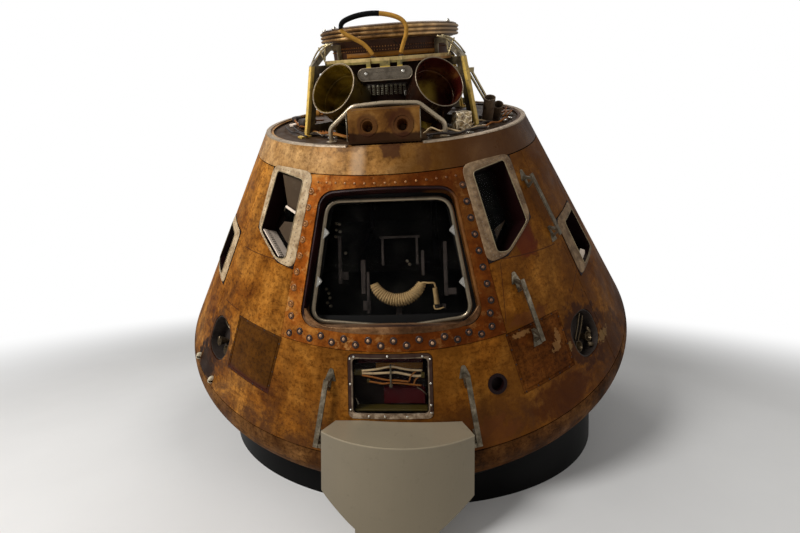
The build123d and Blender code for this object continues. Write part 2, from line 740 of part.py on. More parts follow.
# Hose that hangs in an arc just inside the hatch, on a bracket from the wall below it
HOSE_R = 38
HOSE_ARC_R = 157
HOSE_ARC = 138
HOSE_AT = (40, -48)
STRAP_T = 10
STRAP_W = 36
STRAP_LOW = -420
STRAP_FOOT = 40
STRAP_CLEAR = 2.5
with BuildPart() as hatch_hose:
    wall_face = -HULL_DEPTH - HULL_T - STRAP_CLEAR
    strap_face = wall_face - 2 * HOSE_R - 2 * FIT
    strap_h = HOSE_AT[1] - HOSE_ARC_R - STRAP_LOW
    with BuildSketch(HATCH_PLANE.offset(strap_face)) as strap:
        with Locations((HOSE_AT[0], STRAP_LOW + strap_h / 2)):
            Rectangle(STRAP_W, strap_h)
    extrude(strap.sketch, amount=-STRAP_T)
    with BuildSketch(HATCH_PLANE.offset(wall_face)) as strap_foot:
        with Locations((HOSE_AT[0], STRAP_LOW + STRAP_FOOT / 2)):
            Rectangle(STRAP_W, STRAP_FOOT)
    extrude(strap_foot.sketch, amount=strap_face - wall_face)
    with BuildLine(HATCH_PLANE.offset(wall_face - HOSE_R - FIT)) as hose_run:
        CenterArc(HOSE_AT, HOSE_ARC_R, 270 - HOSE_ARC / 2, HOSE_ARC)
    with BuildSketch(Plane(origin=hose_run.line @ 0, z_dir=hose_run.line % 0)) as hose_cut:
        Circle(HOSE_R)
    sweep(hose_cut.sketch, path=hose_run.line)
finish(hatch_hose, "hatch_hose")


# Forward deck, with the pale rim ring that stops either side of the thruster block
BLOCK_GAP_AZ = 13
DECK_GAP = 2
deck_r = cone_r(DECK_Z) - SKIN_T / cos(radians(CONE_ANGLE)) - DECK_GAP
with BuildPart() as forward_deck:
    with BuildSketch(Plane.XY.offset(DECK_Z - DECK_T)):
        Circle(deck_r)
        Circle(TUNNEL_OUT_R, mode=Mode.SUBTRACT)
    extrude(amount=DECK_T)
finish(forward_deck, "forward_deck")

RIM_W = 34
RIM_EDGE = 4
rim_low = RIM_Z - RIM_T + FIT
with BuildPart() as deck_rim:
    with BuildSketch(meridian(BLOCK_GAP_AZ)) as rim_section:
        with BuildLine():
            Polyline(
                (top_r - RIM_W, rim_low),
                (top_r, rim_low),
                (top_r - RIM_EDGE, RIM_Z),
                (top_r - RIM_W, RIM_Z),
                close=True,
            )
        make_face()
    revolve(rim_section.sketch, axis=Axis.Z, revolution_arc=360 - 2 * BLOCK_GAP_AZ)
finish(deck_rim, "deck_rim")

# Tunnel, and the docking ring with its three lips
with BuildPart() as tunnel:
    with BuildSketch(Plane.XY.offset(TUNNEL_LOW_Z)):
        Circle(TUNNEL_R + TUNNEL_T)
        Circle(TUNNEL_R, mode=Mode.SUBTRACT)
    extrude(amount=TUNNEL_TOP_Z - TUNNEL_LOW_Z)
finish(tunnel, "tunnel")

LIPS = 3
LIP_T = 13
LIP_EDGE = 4
LIP_ROOT = 4
RING_EDGE = 12
RING_FOOT = 22
lip_pitch = (RING_H - RING_EDGE) / LIPS
with BuildPart() as docking_ring:
    with BuildSketch(meridian(0)):
        with BuildLine():
            base_z = TUNNEL_TOP_Z + FIT
            Polyline(
                (RING_BORE_R, base_z),
                (RING_BODY_R - RING_FOOT, base_z),
                (RING_BODY_R, base_z + RING_FOOT / 2),
                (RING_BODY_R, base_z + RING_H - RING_EDGE / 2),
                (RING_BODY_R - RING_EDGE, base_z + RING_H),
                (RING_BORE_R + RING_EDGE, base_z + RING_H),
                (RING_BORE_R, base_z + RING_H - RING_EDGE),
                close=True,
            )
        make_face()
        for lip in range(LIPS):
            lip_low = base_z + RING_EDGE / 2 + lip * lip_pitch
            with BuildLine():
                Polyline(
                    (RING_BODY_R - LIP_ROOT, lip_low),
                    (RING_R - LIP_EDGE, lip_low),
                    (RING_R, lip_low + LIP_EDGE),
                    (RING_R, lip_low + LIP_T - LIP_EDGE),
                    (RING_R - LIP_EDGE, lip_low + LIP_T),
                    (RING_BODY_R - LIP_ROOT, lip_low + LIP_T),
                    close=True,
                )
            make_face()
    revolve(axis=Axis.Z)
finish(docking_ring, "docking_ring")

# Lid of the tunnel: a stiffened plate that comes out downwards into the cabin
LID_RIM_W = 60
LID_SLOPE = 20
LID_DOME = 18
LID_SKIN_T = 16
LID_RIBS = 6
LID_HUB_R = 70
with BuildPart() as tunnel_lid:
    lid_r = TUNNEL_R - LID_GAP
    lid_flat_r = lid_r - LID_RIM_W
    with BuildSketch(meridian(0)):
        with BuildLine():
            Polyline(
                (0, HATCH_LID_Z + LID_DOME),
                (lid_flat_r, HATCH_LID_Z),
                (lid_r, HATCH_LID_Z),
                (lid_r, HATCH_LID_Z + HATCH_LID_T),
                (lid_flat_r + LID_SLOPE, HATCH_LID_Z + HATCH_LID_T),
                (lid_flat_r, HATCH_LID_Z + LID_SKIN_T),
                (0, HATCH_LID_Z + LID_DOME + LID_SKIN_T),
                close=True,
            )
        make_face()
    revolve(axis=Axis.Z)
    with PolarLocations(lid_flat_r - 30, LID_RIBS):
        with Locations((0, 0, HATCH_LID_Z + 30)):
            Box(150, 8, 30)
    with BuildSketch(Plane.XY.offset(HATCH_LID_Z + LID_DOME + 4)):
        Circle(LID_HUB_R)
    extrude(amount=30)
finish(tunnel_lid, "tunnel_lid")


# Gussets: four webs with a sloping flange between the deck and the docking ring
GUSSET_IN_R = TUNNEL_OUT_R
GUSSET_TOP_R = RING_R + GUSSET_TOP_OUT
GUSSET_KINK_R = GUSSET_TOP_R + GUSSET_KINK_OUT
GUSSET_FOOT_R = GUSSET_KINK_R + GUSSET_FOOT_OUT
GUSSET_TOP_Z = TUNNEL_TOP_Z - 12
GUSSET_FOOT_L = 112
GUSSET_FOOT_W = 64
GUSSET_FOOT_T = 10
GUSSET_BORDER = 45
GUSSET_TOP_BORDER = 30
GUSSET_LOW_BORDER = 70


def gusset(azimuth):
    """One gusset, seen from the side in its meridian plane."""
    plane = meridian(azimuth)
    foot_z = DECK_Z + FIT + GUSSET_FOOT_T - 1
    outer = [(GUSSET_FOOT_R, foot_z), (GUSSET_KINK_R, GUSSET_KINK_Z), (GUSSET_TOP_R, GUSSET_TOP_Z)]
    low_inner = (GUSSET_IN_R, foot_z)
    with BuildPart() as piece:
        with BuildSketch(plane) as web:
            with BuildLine():
                Polyline(low_inner, *outer, (GUSSET_IN_R, GUSSET_TOP_Z), close=True)
            make_face()
            with BuildLine():
                Polyline(
                    (GUSSET_IN_R + GUSSET_BORDER, DECK_Z + GUSSET_LOW_BORDER),
                    (GUSSET_FOOT_R - GUSSET_LOW_BORDER, DECK_Z + GUSSET_LOW_BORDER),
                    (GUSSET_KINK_R - GUSSET_BORDER, GUSSET_KINK_Z - GUSSET_BORDER),
                    (GUSSET_IN_R + GUSSET_BORDER, GUSSET_KINK_Z - GUSSET_BORDER),
                    close=True,
                )
            make_face(mode=Mode.SUBTRACT)
            with BuildLine():
                Polyline(
                    (GUSSET_IN_R + GUSSET_TOP_BORDER, GUSSET_KINK_Z),
                    (GUSSET_KINK_R - GUSSET_BORDER, GUSSET_KINK_Z),
                    (GUSSET_TOP_R - GUSSET_FLANGE_T, GUSSET_TOP_Z - GUSSET_TOP_BORDER),
                    (GUSSET_IN_R + GUSSET_TOP_BORDER, GUSSET_TOP_Z - GUSSET_TOP_BORDER),
                    close=True,
                )
            make_face(mode=Mode.SUBTRACT)
        extrude(web.sketch, amount=GUSSET_WEB_T / 2, both=True)
        with BuildSketch(plane) as flange:
            with BuildLine():
                Polyline(*outer, *[(r + GUSSET_FLANGE_T, z) for r, z in reversed(outer)], close=True)
            make_face()
        extrude(flange.sketch, amount=GUSSET_FLANGE_W / 2, both=True)
        foot_at = plane.from_local_coords((GUSSET_FOOT_R, DECK_Z + FIT, 0))
        with BuildSketch(Plane(origin=foot_at, x_dir=plane.x_dir, z_dir=(0, 0, 1))) as foot_plate:
            Rectangle(GUSSET_FOOT_L, GUSSET_FOOT_W)
        extrude(foot_plate.sketch, amount=GUSSET_FOOT_T)
    return piece


GUSSET_AZS = (-GUSSET_AZ, GUSSET_AZ, 180 - GUSSET_AZ, GUSSET_AZ - 180)
finish(join([gusset(azimuth) for azimuth in GUSSET_AZS]), "gussets")


# Open canisters: thin cups that lean outward between the two front gussets
def can_plane(side):
    """Plane of the rim, facing out and up."""
    a = radians(side * CAN_AZ)
    pitch = radians(CAN_PITCH)
    rim_r = TUNNEL_OUT_R + CAN_REACH
    return Plane(
        origin=(rim_r * sin(a), -rim_r * cos(a), CAN_RIM_Z),
        x_dir=(cos(a), sin(a), 0),
        z_dir=(sin(a) * cos(pitch), -cos(a) * cos(pitch), sin(pitch)),
    )


SADDLE_T = 12
CAN_BEAD = 4
CAN_BEAD_H = 10
# Saddle under a canister: distances out from the tunnel and up from the deck
SADDLE = [(13.5, 0), (289.5, 0), (289.5, 40), (309.5, 140), (149.5, 180), (13.5, 120)]
with BuildPart() as canisters:
    for side in (-1, 1):
        rim = can_plane(side)
        with BuildSketch(meridian(side * CAN_AZ)) as saddle:
            with BuildLine():
                Polyline(*[(TUNNEL_OUT_R + out, DECK_Z + FIT + up) for out, up in SADDLE], close=True)
            make_face()
        extrude(saddle.sketch, amount=SADDLE_T / 2, both=True)
        with BuildSketch(rim) as can_round:
            Circle(CAN_R)
        extrude(can_round.sketch, amount=-CAN_DEPTH)
        with BuildSketch(rim.offset(-CAN_DEPTH + CAN_T)) as can_room:
            Circle(CAN_R - CAN_T)
        extrude(can_room.sketch, amount=CAN_DEPTH, mode=Mode.SUBTRACT)
        with BuildSketch(rim.offset(-CAN_BEAD_H)) as bead:
            Circle(CAN_R + CAN_BEAD)
            Circle(CAN_R - CAN_T, mode=Mode.SUBTRACT)
        extrude(bead.sketch, amount=CAN_BEAD_H)
finish(canisters, "canisters")

# Front shelf between the gussets, with a turned-down lip and three brackets
SHELF_HALF = 48.3
BRACKETS = [(-100, 25), (0, 60), (90, 30)]
BRACKET_DROP = 46
BRACKET_UP = 6
BRACKET_D = 24
SHELF_LIP_T = 5
PLATE_OUT = 155.5
PLATE_T = 10
PLATE_Y = -TUNNEL_OUT_R - PLATE_OUT
SHELF_R = TUNNEL_OUT_R + SHELF_REACH
with BuildPart() as front_shelf:
    with BuildSketch(meridian(-SHELF_HALF)) as shelf_section:
        with BuildLine():
            Polyline(
                (TUNNEL_OUT_R, SHELF_Z),
                (SHELF_R - SHELF_LIP_T, SHELF_Z),
                (SHELF_R - SHELF_LIP_T, SHELF_Z - SHELF_LIP / 2),
                (SHELF_R, SHELF_Z - SHELF_LIP / 2),
                (SHELF_R, SHELF_Z + SHELF_LIP / 2),
                (SHELF_R - SHELF_LIP_T, SHELF_Z + SHELF_LIP / 2),
                (SHELF_R - SHELF_LIP_T, SHELF_Z + SHELF_T),
                (TUNNEL_OUT_R, SHELF_Z + SHELF_T),
                close=True,
            )
        make_face()
    revolve(shelf_section.sketch, axis=Axis.Z, revolution_arc=2 * SHELF_HALF)
    for x, width in BRACKETS:
        tab_plane = Plane(origin=(x, PLATE_Y + PLATE_T, SHELF_Z), x_dir=(1, 0, 0), z_dir=(0, 1, 0))
        with BuildSketch(tab_plane) as tab:
            with Locations((0, BRACKET_DROP / 2 - BRACKET_UP)):
                Rectangle(width, BRACKET_DROP + 2 * BRACKET_UP)
        extrude(tab.sketch, amount=BRACKET_D)
finish(front_shelf, "front_shelf")

# Oval pull plate under the shelf: a rounded ring with a bar held by two bolts
PULL_W = 332
PULL_H = 70
PULL_Z = 2429
PULL_BAR_R = 9
PULL_BORDER = 13
PULL_BACK_T = 3
PULL_BAR_SHORT = 100
with BuildPart() as pull_plate:
    pull_plane = Plane(origin=(0, PLATE_Y, PULL_Z), x_dir=(1, 0, 0), z_dir=(0, -1, 0))
    with BuildSketch(pull_plane) as pull_outline:
        SlotOverall(PULL_W, PULL_H)
        SlotOverall(PULL_W - 2 * PULL_BORDER, PULL_H - 2 * PULL_BORDER, mode=Mode.SUBTRACT)
    extrude(pull_outline.sketch, amount=-PLATE_T)
    with BuildSketch(pull_plane.offset(-PLATE_T + FIT)) as pull_back:
        SlotOverall(PULL_W - PULL_BORDER, PULL_H - PULL_BORDER)
    extrude(pull_back.sketch, amount=PULL_BACK_T)
    with BuildSketch(pull_plane.offset(-PLATE_T / 2)) as pull_bar:
        SlotOverall(PULL_W - PULL_BAR_SHORT, 2 * PULL_BAR_R)
    extrude(pull_bar.sketch, amount=PULL_BAR_R, both=True)
finish(pull_plate, "pull_plate")

# Row of plugs on a rail between the canisters
PLUGS = 7
PLUG_PITCH = 31
PLUG_R = 11
PLUG_L = 52
PLUG_OUT = 41.5
PLUG_Z = 2362
PLUG_LEAN = 30
PLUG_NUT = 4
PLUG_NUT_H = 12
PLUG_NUT_UP = 34
PLUG_RAIL_H = 18
PLUG_RAIL_D = 22
PLUG_LUG_X = 60
with BuildPart() as plug_row:
    plug_y = -TUNNEL_OUT_R - PLUG_OUT
    with Locations((0, plug_y + PLUG_RAIL_D / 2 + 1, PLUG_Z)):
        Box(PLUGS * PLUG_PITCH, PLUG_RAIL_D, PLUG_RAIL_H)
    for x in (-PLUG_LUG_X, PLUG_LUG_X):
        with Locations((x, plug_y + 3 * PLUG_RAIL_D / 2, PLUG_Z)):
            Box(20, PLUG_RAIL_D, 12)
    for plug in range(PLUGS):
        x = (plug - (PLUGS - 1) / 2) * PLUG_PITCH
        lean = radians(PLUG_LEAN)
        start = Plane(origin=(x, plug_y + 6, PLUG_Z - 2), z_dir=(0, -sin(lean), -cos(lean)))
        with BuildSketch(start) as plug_round:
            Circle(PLUG_R)
        extrude(plug_round.sketch, amount=PLUG_L)
        with BuildSketch(start.offset(PLUG_NUT_UP)) as plug_nut:
            RegularPolygon(PLUG_R + PLUG_NUT, 6)
        extrude(plug_nut.sketch, amount=PLUG_NUT_H)
finish(plug_row, "plug_row")

# Thruster block on the deck's front edge: a wedge with two flush nozzles
BLOCK_W = 406
BLOCK_TOP_Z = 2272
BLOCK_SET_IN = 43.9
BLOCK_SLOPE = 64
BLOCK_D = 150
BLOCK_LIP = 40
BLOCK_FOOT = 12
JET_D = 64
JET_DROP = 4
JET_RING_W = 12
# Nozzles of the block: place across it, mouth radius, ring radius
JETS = [(-92, 31, 54), (104, 33, 62)]
block_front_r = RIM_R - BLOCK_SET_IN
block_top_r = block_front_r - BLOCK_SLOPE
block_low_z = RIM_Z + 14
with BuildPart() as thruster_block:
    with BuildSketch(meridian(0)) as wedge:
        with BuildLine():
            Polyline(
                (block_front_r - BLOCK_LIP, DECK_Z + FIT),
                (block_front_r - BLOCK_LIP, RIM_Z + 2),
                (block_front_r, RIM_Z + 2),
                (block_front_r, block_low_z),
                (block_top_r, BLOCK_TOP_Z),
                (block_front_r - BLOCK_D, BLOCK_TOP_Z),
                (block_front_r - BLOCK_D - BLOCK_FOOT, DECK_Z + FIT),
                close=True,
            )
        make_face()
    extrude(wedge.sketch, amount=BLOCK_W / 2, both=True)
    face_lean = atan2(BLOCK_SLOPE, BLOCK_TOP_Z - block_low_z)
    block_face = Plane(
        origin=(0, -(block_front_r + block_top_r) / 2, (block_low_z + BLOCK_TOP_Z) / 2),
        x_dir=(1, 0, 0),
        z_dir=(0, -cos(face_lean), sin(face_lean)),
    )
    for x, bore, ring in JETS:
        with BuildSketch(block_face) as jet_ring:
            with Locations((x, -JET_DROP)):
                Circle(ring)
                Circle(ring - JET_RING_W, mode=Mode.SUBTRACT)
        extrude(jet_ring.sketch, amount=3)
        with BuildSketch(block_face) as jet_mouth:
            with Locations((x, -JET_DROP)):
                Circle(bore)
        with BuildSketch(block_face.offset(-JET_D)) as jet_throat:
            with Locations((x, -JET_DROP)):
                Circle(bore * NOZZLE_THROAT)
        loft([jet_mouth.sketch.face(), jet_throat.sketch.face()], mode=Mode.SUBTRACT)
finish(thruster_block, "thruster_block")

# Tube rail over the thruster block, from deck to deck
RAIL_BEHIND = 210
RAIL_FOOT_R = 30
RAIL_FOOT_T = 7
RAIL_BENDS = [52, 80, 400, 80, 52]
RAIL_HALF = 352
RAIL_TOP_HALF = 196
RAIL_TOP_Z = 2286
RAIL_KNEE_Z = 2158
rail_y = RAIL_BEHIND - block_front_r
with BuildPart() as deck_rail:
    with BuildLine(Plane(origin=(0, rail_y, 0), x_dir=(1, 0, 0), z_dir=(0, -1, 0))) as rail_run:
        FilletPolyline(
            (-RAIL_HALF, DECK_Z + 6),
            (-RAIL_HALF, RAIL_KNEE_Z),
            (-RAIL_TOP_HALF, RAIL_TOP_Z - 10),
            (0, RAIL_TOP_Z),
            (RAIL_TOP_HALF, RAIL_TOP_Z - 10),
            (RAIL_HALF, RAIL_KNEE_Z),
            (RAIL_HALF, DECK_Z + 6),
            radius=RAIL_BENDS,
        )
    with BuildSketch(Plane(origin=rail_run.line @ 0, z_dir=rail_run.line % 0)) as rail_cut:
        Circle(RAIL_R)
    sweep(rail_cut.sketch, path=rail_run.line)
    for x in (-RAIL_HALF, RAIL_HALF):
        with Locations((x, rail_y, DECK_Z + FIT + RAIL_FOOT_T / 2)):
            Cylinder(RAIL_FOOT_R, RAIL_FOOT_T)
finish(deck_rail, "deck_rail")

# Wrapped block and two small canisters by the right-hand gusset
WRAP_AT = (462, -612)
WRAP_TURN = 20
WRAP_L = 112
WRAP_W = 84
WRAP_H = 122
WRAP_ROUND = 10
with BuildPart() as wrapped_block:
    with BuildSketch(Plane.XY.offset(DECK_Z + FIT)):
        with Locations(Location((*WRAP_AT, 0), (0, 0, WRAP_TURN))):
            RectangleRounded(WRAP_L, WRAP_W, WRAP_ROUND)
    extrude(amount=WRAP_H, taper=2)
finish(wrapped_block, "wrapped_block")

# Each small canister: place, radius, length, lean towards the hatch side
SMALL_CANS = [(668, -330, 38, 150, 22), (742, -246, 34, 110, 40)]
SMALL_CAN_WALL = 5
SMALL_CAN_FLOOR = 12
SMALL_SEAT_H = 27
with BuildPart() as small_canisters:
    for x, y, r, tall, lean in SMALL_CANS:
        up = radians(lean)
        base = Plane(origin=(x, y, DECK_Z + SMALL_SEAT_H - 3), z_dir=(0, -sin(up), cos(up)))
        with BuildSketch(base) as small_round:
            Circle(r)
        extrude(small_round.sketch, amount=tall)
        with BuildSketch(base.offset(SMALL_CAN_FLOOR)) as small_room:
            Circle(r - SMALL_CAN_WALL)
        extrude(small_room.sketch, amount=tall, mode=Mode.SUBTRACT)
        with Locations((x, y, DECK_Z + FIT + SMALL_SEAT_H / 2)):
            Box(1.6 * r, 1.2 * r, SMALL_SEAT_H)
finish(small_canisters, "small_canisters")

# Struts from the right-hand gusset's bay down to the deck
STRUT_R = 9
STRUT_OUT = 155.5
STRUT_RUN = 204
STRUT_TOP_Z = 2400
STRUT_TOP_Y = 150
STRUT_FOOT_Y = 110
STRUT_FOOT = (60, 50, 31)
STRUT_LUG = (16, 30)
with BuildPart() as side_struts:
    strut_x = TUNNEL_OUT_R + STRUT_OUT
    for side in (-1, 1):
        high = Vector(strut_x, side * STRUT_TOP_Y, STRUT_TOP_Z)
        low = Vector(strut_x + STRUT_RUN, side * STRUT_FOOT_Y, DECK_Z + STRUT_FOOT[2] / 2)
        run = low - high
        with BuildSketch(Plane(origin=high, z_dir=run)) as strut_round:
            Circle(STRUT_R)
        extrude(strut_round.sketch, amount=run.length)
        with Locations((low.X, low.Y, DECK_Z + FIT + STRUT_FOOT[2] / 2)):
            Box(*STRUT_FOOT)
        with Locations((TUNNEL_OUT_R + STRUT_OUT / 2, high.Y, high.Z)):
            Box(STRUT_OUT + 40, *STRUT_LUG)
    with BuildSketch(Plane.XY.offset(STRUT_TOP_Z - STRUT_LUG[1])) as tunnel_clear:
        Circle(TUNNEL_OUT_R)
    extrude(tunnel_clear.sketch, amount=2 * STRUT_LUG[1], mode=Mode.SUBTRACT)
finish(side_struts, "side_struts")

# Recovery loop: stiff cable that rises from the shelf and comes back to it
LOOP_OUT = 97.5
LOOP_Y = -TUNNEL_OUT_R - LOOP_OUT
STUB_R = 15
STUB_H = 15
LOOP_POINTS = [
    (-72, 2532),
    (-106, 2580),
    (-163, 2613),
    (-222, 2641),
    (-249, 2668),
    (-243, 2698),
    (-206, 2716),
    (-130, 2732),
    (-40, 2735),
    (45, 2722),
    (112, 2698),
    (140, 2662),
    (134, 2618),
    (113, 2576),
    (99, 2532),
]
loop_runs = [hypot(b[0] - a[0], b[1] - a[1]) for a, b in zip(LOOP_POINTS, LOOP_POINTS[1:])]
loop_radii = []
for i in range(1, len(LOOP_POINTS) - 1):
    before = Vector(*LOOP_POINTS[i]) - Vector(*LOOP_POINTS[i - 1])
    after = Vector(*LOOP_POINTS[i + 1]) - Vector(*LOOP_POINTS[i])
    half_turn = radians(before.get_angle(after) / 2)
    loop_radii.append(0.45 * min(loop_runs[i - 1], loop_runs[i]) / tan(half_turn))
print("recovery loop radii", [round(r) for r in loop_radii], "length", round(sum(loop_runs)))
with BuildPart() as recovery_loop:
    with BuildLine(Plane(origin=(0, LOOP_Y, 0), x_dir=(1, 0, 0), z_dir=(0, -1, 0))) as loop_run:
        FilletPolyline(*LOOP_POINTS, radius=loop_radii)
    with BuildSketch(Plane(origin=loop_run.line @ 0, z_dir=loop_run.line % 0)) as loop_cut:
        Circle(LOOP_R)
    sweep(loop_cut.sketch, path=loop_run.line)
finish(recovery_loop, "recovery_loop")

with BuildPart() as loop_stubs:
    for end in (LOOP_POINTS[0], LOOP_POINTS[-1]):
        with Locations((end[0], LOOP_Y, SHELF_Z + SHELF_T + FIT + STUB_H / 2)):
            Cylinder(STUB_R, STUB_H)
finish(loop_stubs, "loop_stubs")


# Plinth: a drum cut to the dish that lies in it, with a padded edge and a base
def envelope(clearance):
    """The capsule's outside with room round it, where the capsule stands."""
    with BuildPart() as room:
        with BuildSketch(meridian(0)):
            with BuildLine():
                under_arcs(clearance)
                foot = skin(CONE_LOW_Z, -clearance)
                rim = skin(RIM_Z, -clearance)
                Polyline(foot, rim, (0, RIM_Z), (0, -clearance))
            make_face()
        revolve(axis=Axis.Z)
    return room.part.moved(STANDING)


def drum_ring(outer, inner, low, high):
    """Upright tube of the plinth."""
    with BuildPart() as ring:
        with BuildSketch(Plane.XY.offset(low)):
            Circle(outer)
            Circle(inner, mode=Mode.SUBTRACT)
        extrude(amount=high - low)
    return ring.part


def lowest(piece):
    """The solid of a cut piece that is next to the floor."""
    with BuildPart() as kept:
        add(piece.solids().sort_by(Axis.Z)[0])
    return kept


drum_tube = drum_ring(DRUM_R, DRUM_R - DRUM_T, 0, DRUM_TOP)
pad_tube = drum_ring(DRUM_R - PAD_IN, DRUM_R - DRUM_T + PAD_IN, PAD_LOW, DRUM_TOP)
drum_room = envelope(DRUM_GAP)
pad_outside = envelope(DRUM_GAP - 2 * FIT)
pad_inside = envelope(1)
with BuildPart() as drum_cut:
    add(drum_tube)
    add(drum_room, mode=Mode.SUBTRACT)
finish(lowest(drum_cut), "plinth_drum", Location())

with BuildPart() as pad_cut:
    add(pad_tube)
    add(pad_outside, mode=Mode.INTERSECT)
    add(pad_inside, mode=Mode.SUBTRACT)
finish(lowest(pad_cut), "plinth_pad", Location())

with BuildPart() as plinth_base:
    with BuildSketch():
        Circle(DRUM_R - DRUM_T - FIT)
    extrude(amount=BASE_T)
finish(plinth_base, "plinth_base", Location())

# Bright metal housing at the plinth's foot: a box with a bowed front on a narrow foot
HOUSING_X = -132.5
HOUSING_TOP = 536
HOUSING_CLEAR = 89
HOUSING_BACK = -DRUM_R - HOUSING_CLEAR
HOUSING_DEPTH = 277
HOUSING_LEFT_DEPTH = 115
HOUSING_RIGHT_DEPTH = 155
HOUSING_BOW = HOUSING_BACK - HOUSING_DEPTH
HOUSING_LEFT = (-521, HOUSING_BACK - HOUSING_LEFT_DEPTH)
HOUSING_RIGHT = (256, HOUSING_BACK - HOUSING_RIGHT_DEPTH)
HOUSING_BACK_IN = (54, 40)
HOUSING_T = 6
HOUSING_GAP = 8
# Half widths of the front at heights above the floor, from the foot up to the lid
HOUSING_EDGE = [(200, 0), (200, 120), (235, 140), (300, 180), (392, 233), (392, HOUSING_TOP)]


def housing_block(inset, back):
    """The housing as a solid, drawn in from its outside by a wall thickness."""
    with BuildPart() as block:
        with BuildSketch() as plan:
            with BuildLine():
                left = (HOUSING_LEFT[0] + inset, HOUSING_LEFT[1])
                right = (HOUSING_RIGHT[0] - inset, HOUSING_RIGHT[1])
                back_left = (left[0] + HOUSING_BACK_IN[0], back)
                back_right = (right[0] - HOUSING_BACK_IN[1], back)
                Polyline(right, back_right, back_left, left)
                ThreePointArc(left, (HOUSING_X, HOUSING_BOW + inset), right)
            make_face()
        extrude(plan.sketch, amount=HOUSING_TOP - inset)
        front_plane = Plane(origin=(HOUSING_X, 0, 0), x_dir=(1, 0, 0), z_dir=(0, -1, 0))
        with BuildSketch(front_plane) as front:
            with BuildLine():
                rising = [(half - inset, z) for half, z in HOUSING_EDGE]
                Polyline(*rising, *[(-x, z) for x, z in reversed(rising)], close=True)
            make_face()
        extrude(front.sketch, amount=WIDEST_R - HOUSING_BOW, mode=Mode.INTERSECT)
    return block


housing_outside = housing_block(0, HOUSING_BACK).part
housing_inside = housing_block(HOUSING_T, HOUSING_BACK - HOUSING_T).part
housing_room = envelope(HOUSING_GAP)
with BuildPart() as front_housing:
    add(housing_outside)
    add(housing_inside, mode=Mode.SUBTRACT)
    add(housing_room, mode=Mode.SUBTRACT)
finish(front_housing, "front_housing", Location())

# Low plate that ties the housing to the drum
TIE_W = 300
TIE_REACH = 30
with BuildPart() as tie_plate:
    with BuildSketch():
        with Locations((HOUSING_X, HOUSING_BACK + FIT + (HOUSING_CLEAR + TIE_REACH) / 2)):
            Rectangle(TIE_W, HOUSING_CLEAR + TIE_REACH)
        Circle(DRUM_R + FIT, mode=Mode.SUBTRACT)
    extrude(amount=BASE_T)
finish(tie_plate, "tie_plate", Location())
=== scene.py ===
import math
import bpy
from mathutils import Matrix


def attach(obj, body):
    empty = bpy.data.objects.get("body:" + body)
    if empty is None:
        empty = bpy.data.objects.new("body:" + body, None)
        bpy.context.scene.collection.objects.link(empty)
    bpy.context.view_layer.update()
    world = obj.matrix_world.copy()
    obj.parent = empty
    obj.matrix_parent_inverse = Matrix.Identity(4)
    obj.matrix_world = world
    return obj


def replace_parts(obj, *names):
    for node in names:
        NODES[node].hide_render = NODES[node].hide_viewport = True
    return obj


bl_info = {
    "name": "Weathered space capsule",
    "version": (1, 0, 0),
    "blender": (4, 5, 0),
    "location": "View3D > Sidebar > Capsule",
    "description": "Finishes and small fittings of a flown crew capsule on its plinth",
    "category": "Object",
}

import bmesh
import bpy
import numpy as np
from bpy.props import FloatProperty, FloatVectorProperty, IntProperty, PointerProperty
from mathutils import Matrix, Vector

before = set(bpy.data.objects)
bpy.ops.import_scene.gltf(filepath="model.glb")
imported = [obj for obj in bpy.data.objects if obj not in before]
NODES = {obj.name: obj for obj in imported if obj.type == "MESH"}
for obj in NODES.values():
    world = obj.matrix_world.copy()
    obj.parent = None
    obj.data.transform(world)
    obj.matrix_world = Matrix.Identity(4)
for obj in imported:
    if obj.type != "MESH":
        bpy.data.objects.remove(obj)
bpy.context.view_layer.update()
HULL = "capsule_on_plinth"

# The capsule's own shape and how it stands, in metres and degrees, as in the solids
CAPSULE_AT = np.array([-0.029, 0.256, 0.728])
TILT_FORWARD = 30.2
TILT_LEFT = 4.1
TURN = -4.8
CONE_ANGLE = math.radians(33.2)
CONE_LOW_R = 1.92387
CONE_LOW_Z = 0.66141
# Metres of skin to a degree of azimuth
DEGREE_WIDE = 0.028
# Middles of the openings on the cone, as (azimuth, height)
HATCH_AT = (0, 1.545)
BAY_AT = (0, 0.994)
FORE_WINDOW_AT = (34, 1.73)
SIDE_WINDOW_AT = (60.5, 1.365)
WELL_AT = (44.5, 0.938)
PANEL_AT = (31.25, 1.0)
STAND = (
    Matrix.Rotation(math.radians(-TILT_LEFT), 3, "Y")
    @ Matrix.Rotation(math.radians(TILT_FORWARD), 3, "X")
    @ Matrix.Rotation(math.radians(TURN), 3, "Z")
)
TURNED = np.array(STAND)


def stood(points):
    """Points of the upright capsule, moved to where it stands: T + R p."""
    return CAPSULE_AT + np.asarray(points, float) @ TURNED.T


def skin_frames(azimuth, height, out=0.0):
    """Origins and (round, up the slope, outward) axes on the cone, set off outward.

    The radius falls with height: r = r0 - (z - z0) tan(angle).
    """
    a = np.radians(np.atleast_1d(np.asarray(azimuth, float)))
    z = np.broadcast_to(np.asarray(height, float), a.shape)
    level, rise = math.cos(CONE_ANGLE), math.sin(CONE_ANGLE)
    r = CONE_LOW_R - (z - CONE_LOW_Z) * math.tan(CONE_ANGLE) + out * level
    origin = np.stack([r * np.sin(a), -r * np.cos(a), z + out * rise], -1)
    sideways = np.stack([np.cos(a), np.sin(a), 0 * a], -1)
    outward = np.stack([level * np.sin(a), -level * np.cos(a), 0 * a + rise], -1)
    up = np.cross(outward, sideways)
    return stood(origin), np.stack([sideways, up, outward], 1) @ TURNED.T


def skin_spot(azimuth, height, out=0.0):
    """One frame of the skin, as (origin, axes)."""
    origin, axes = skin_frames(azimuth, height, out)
    return origin[0], axes[0]


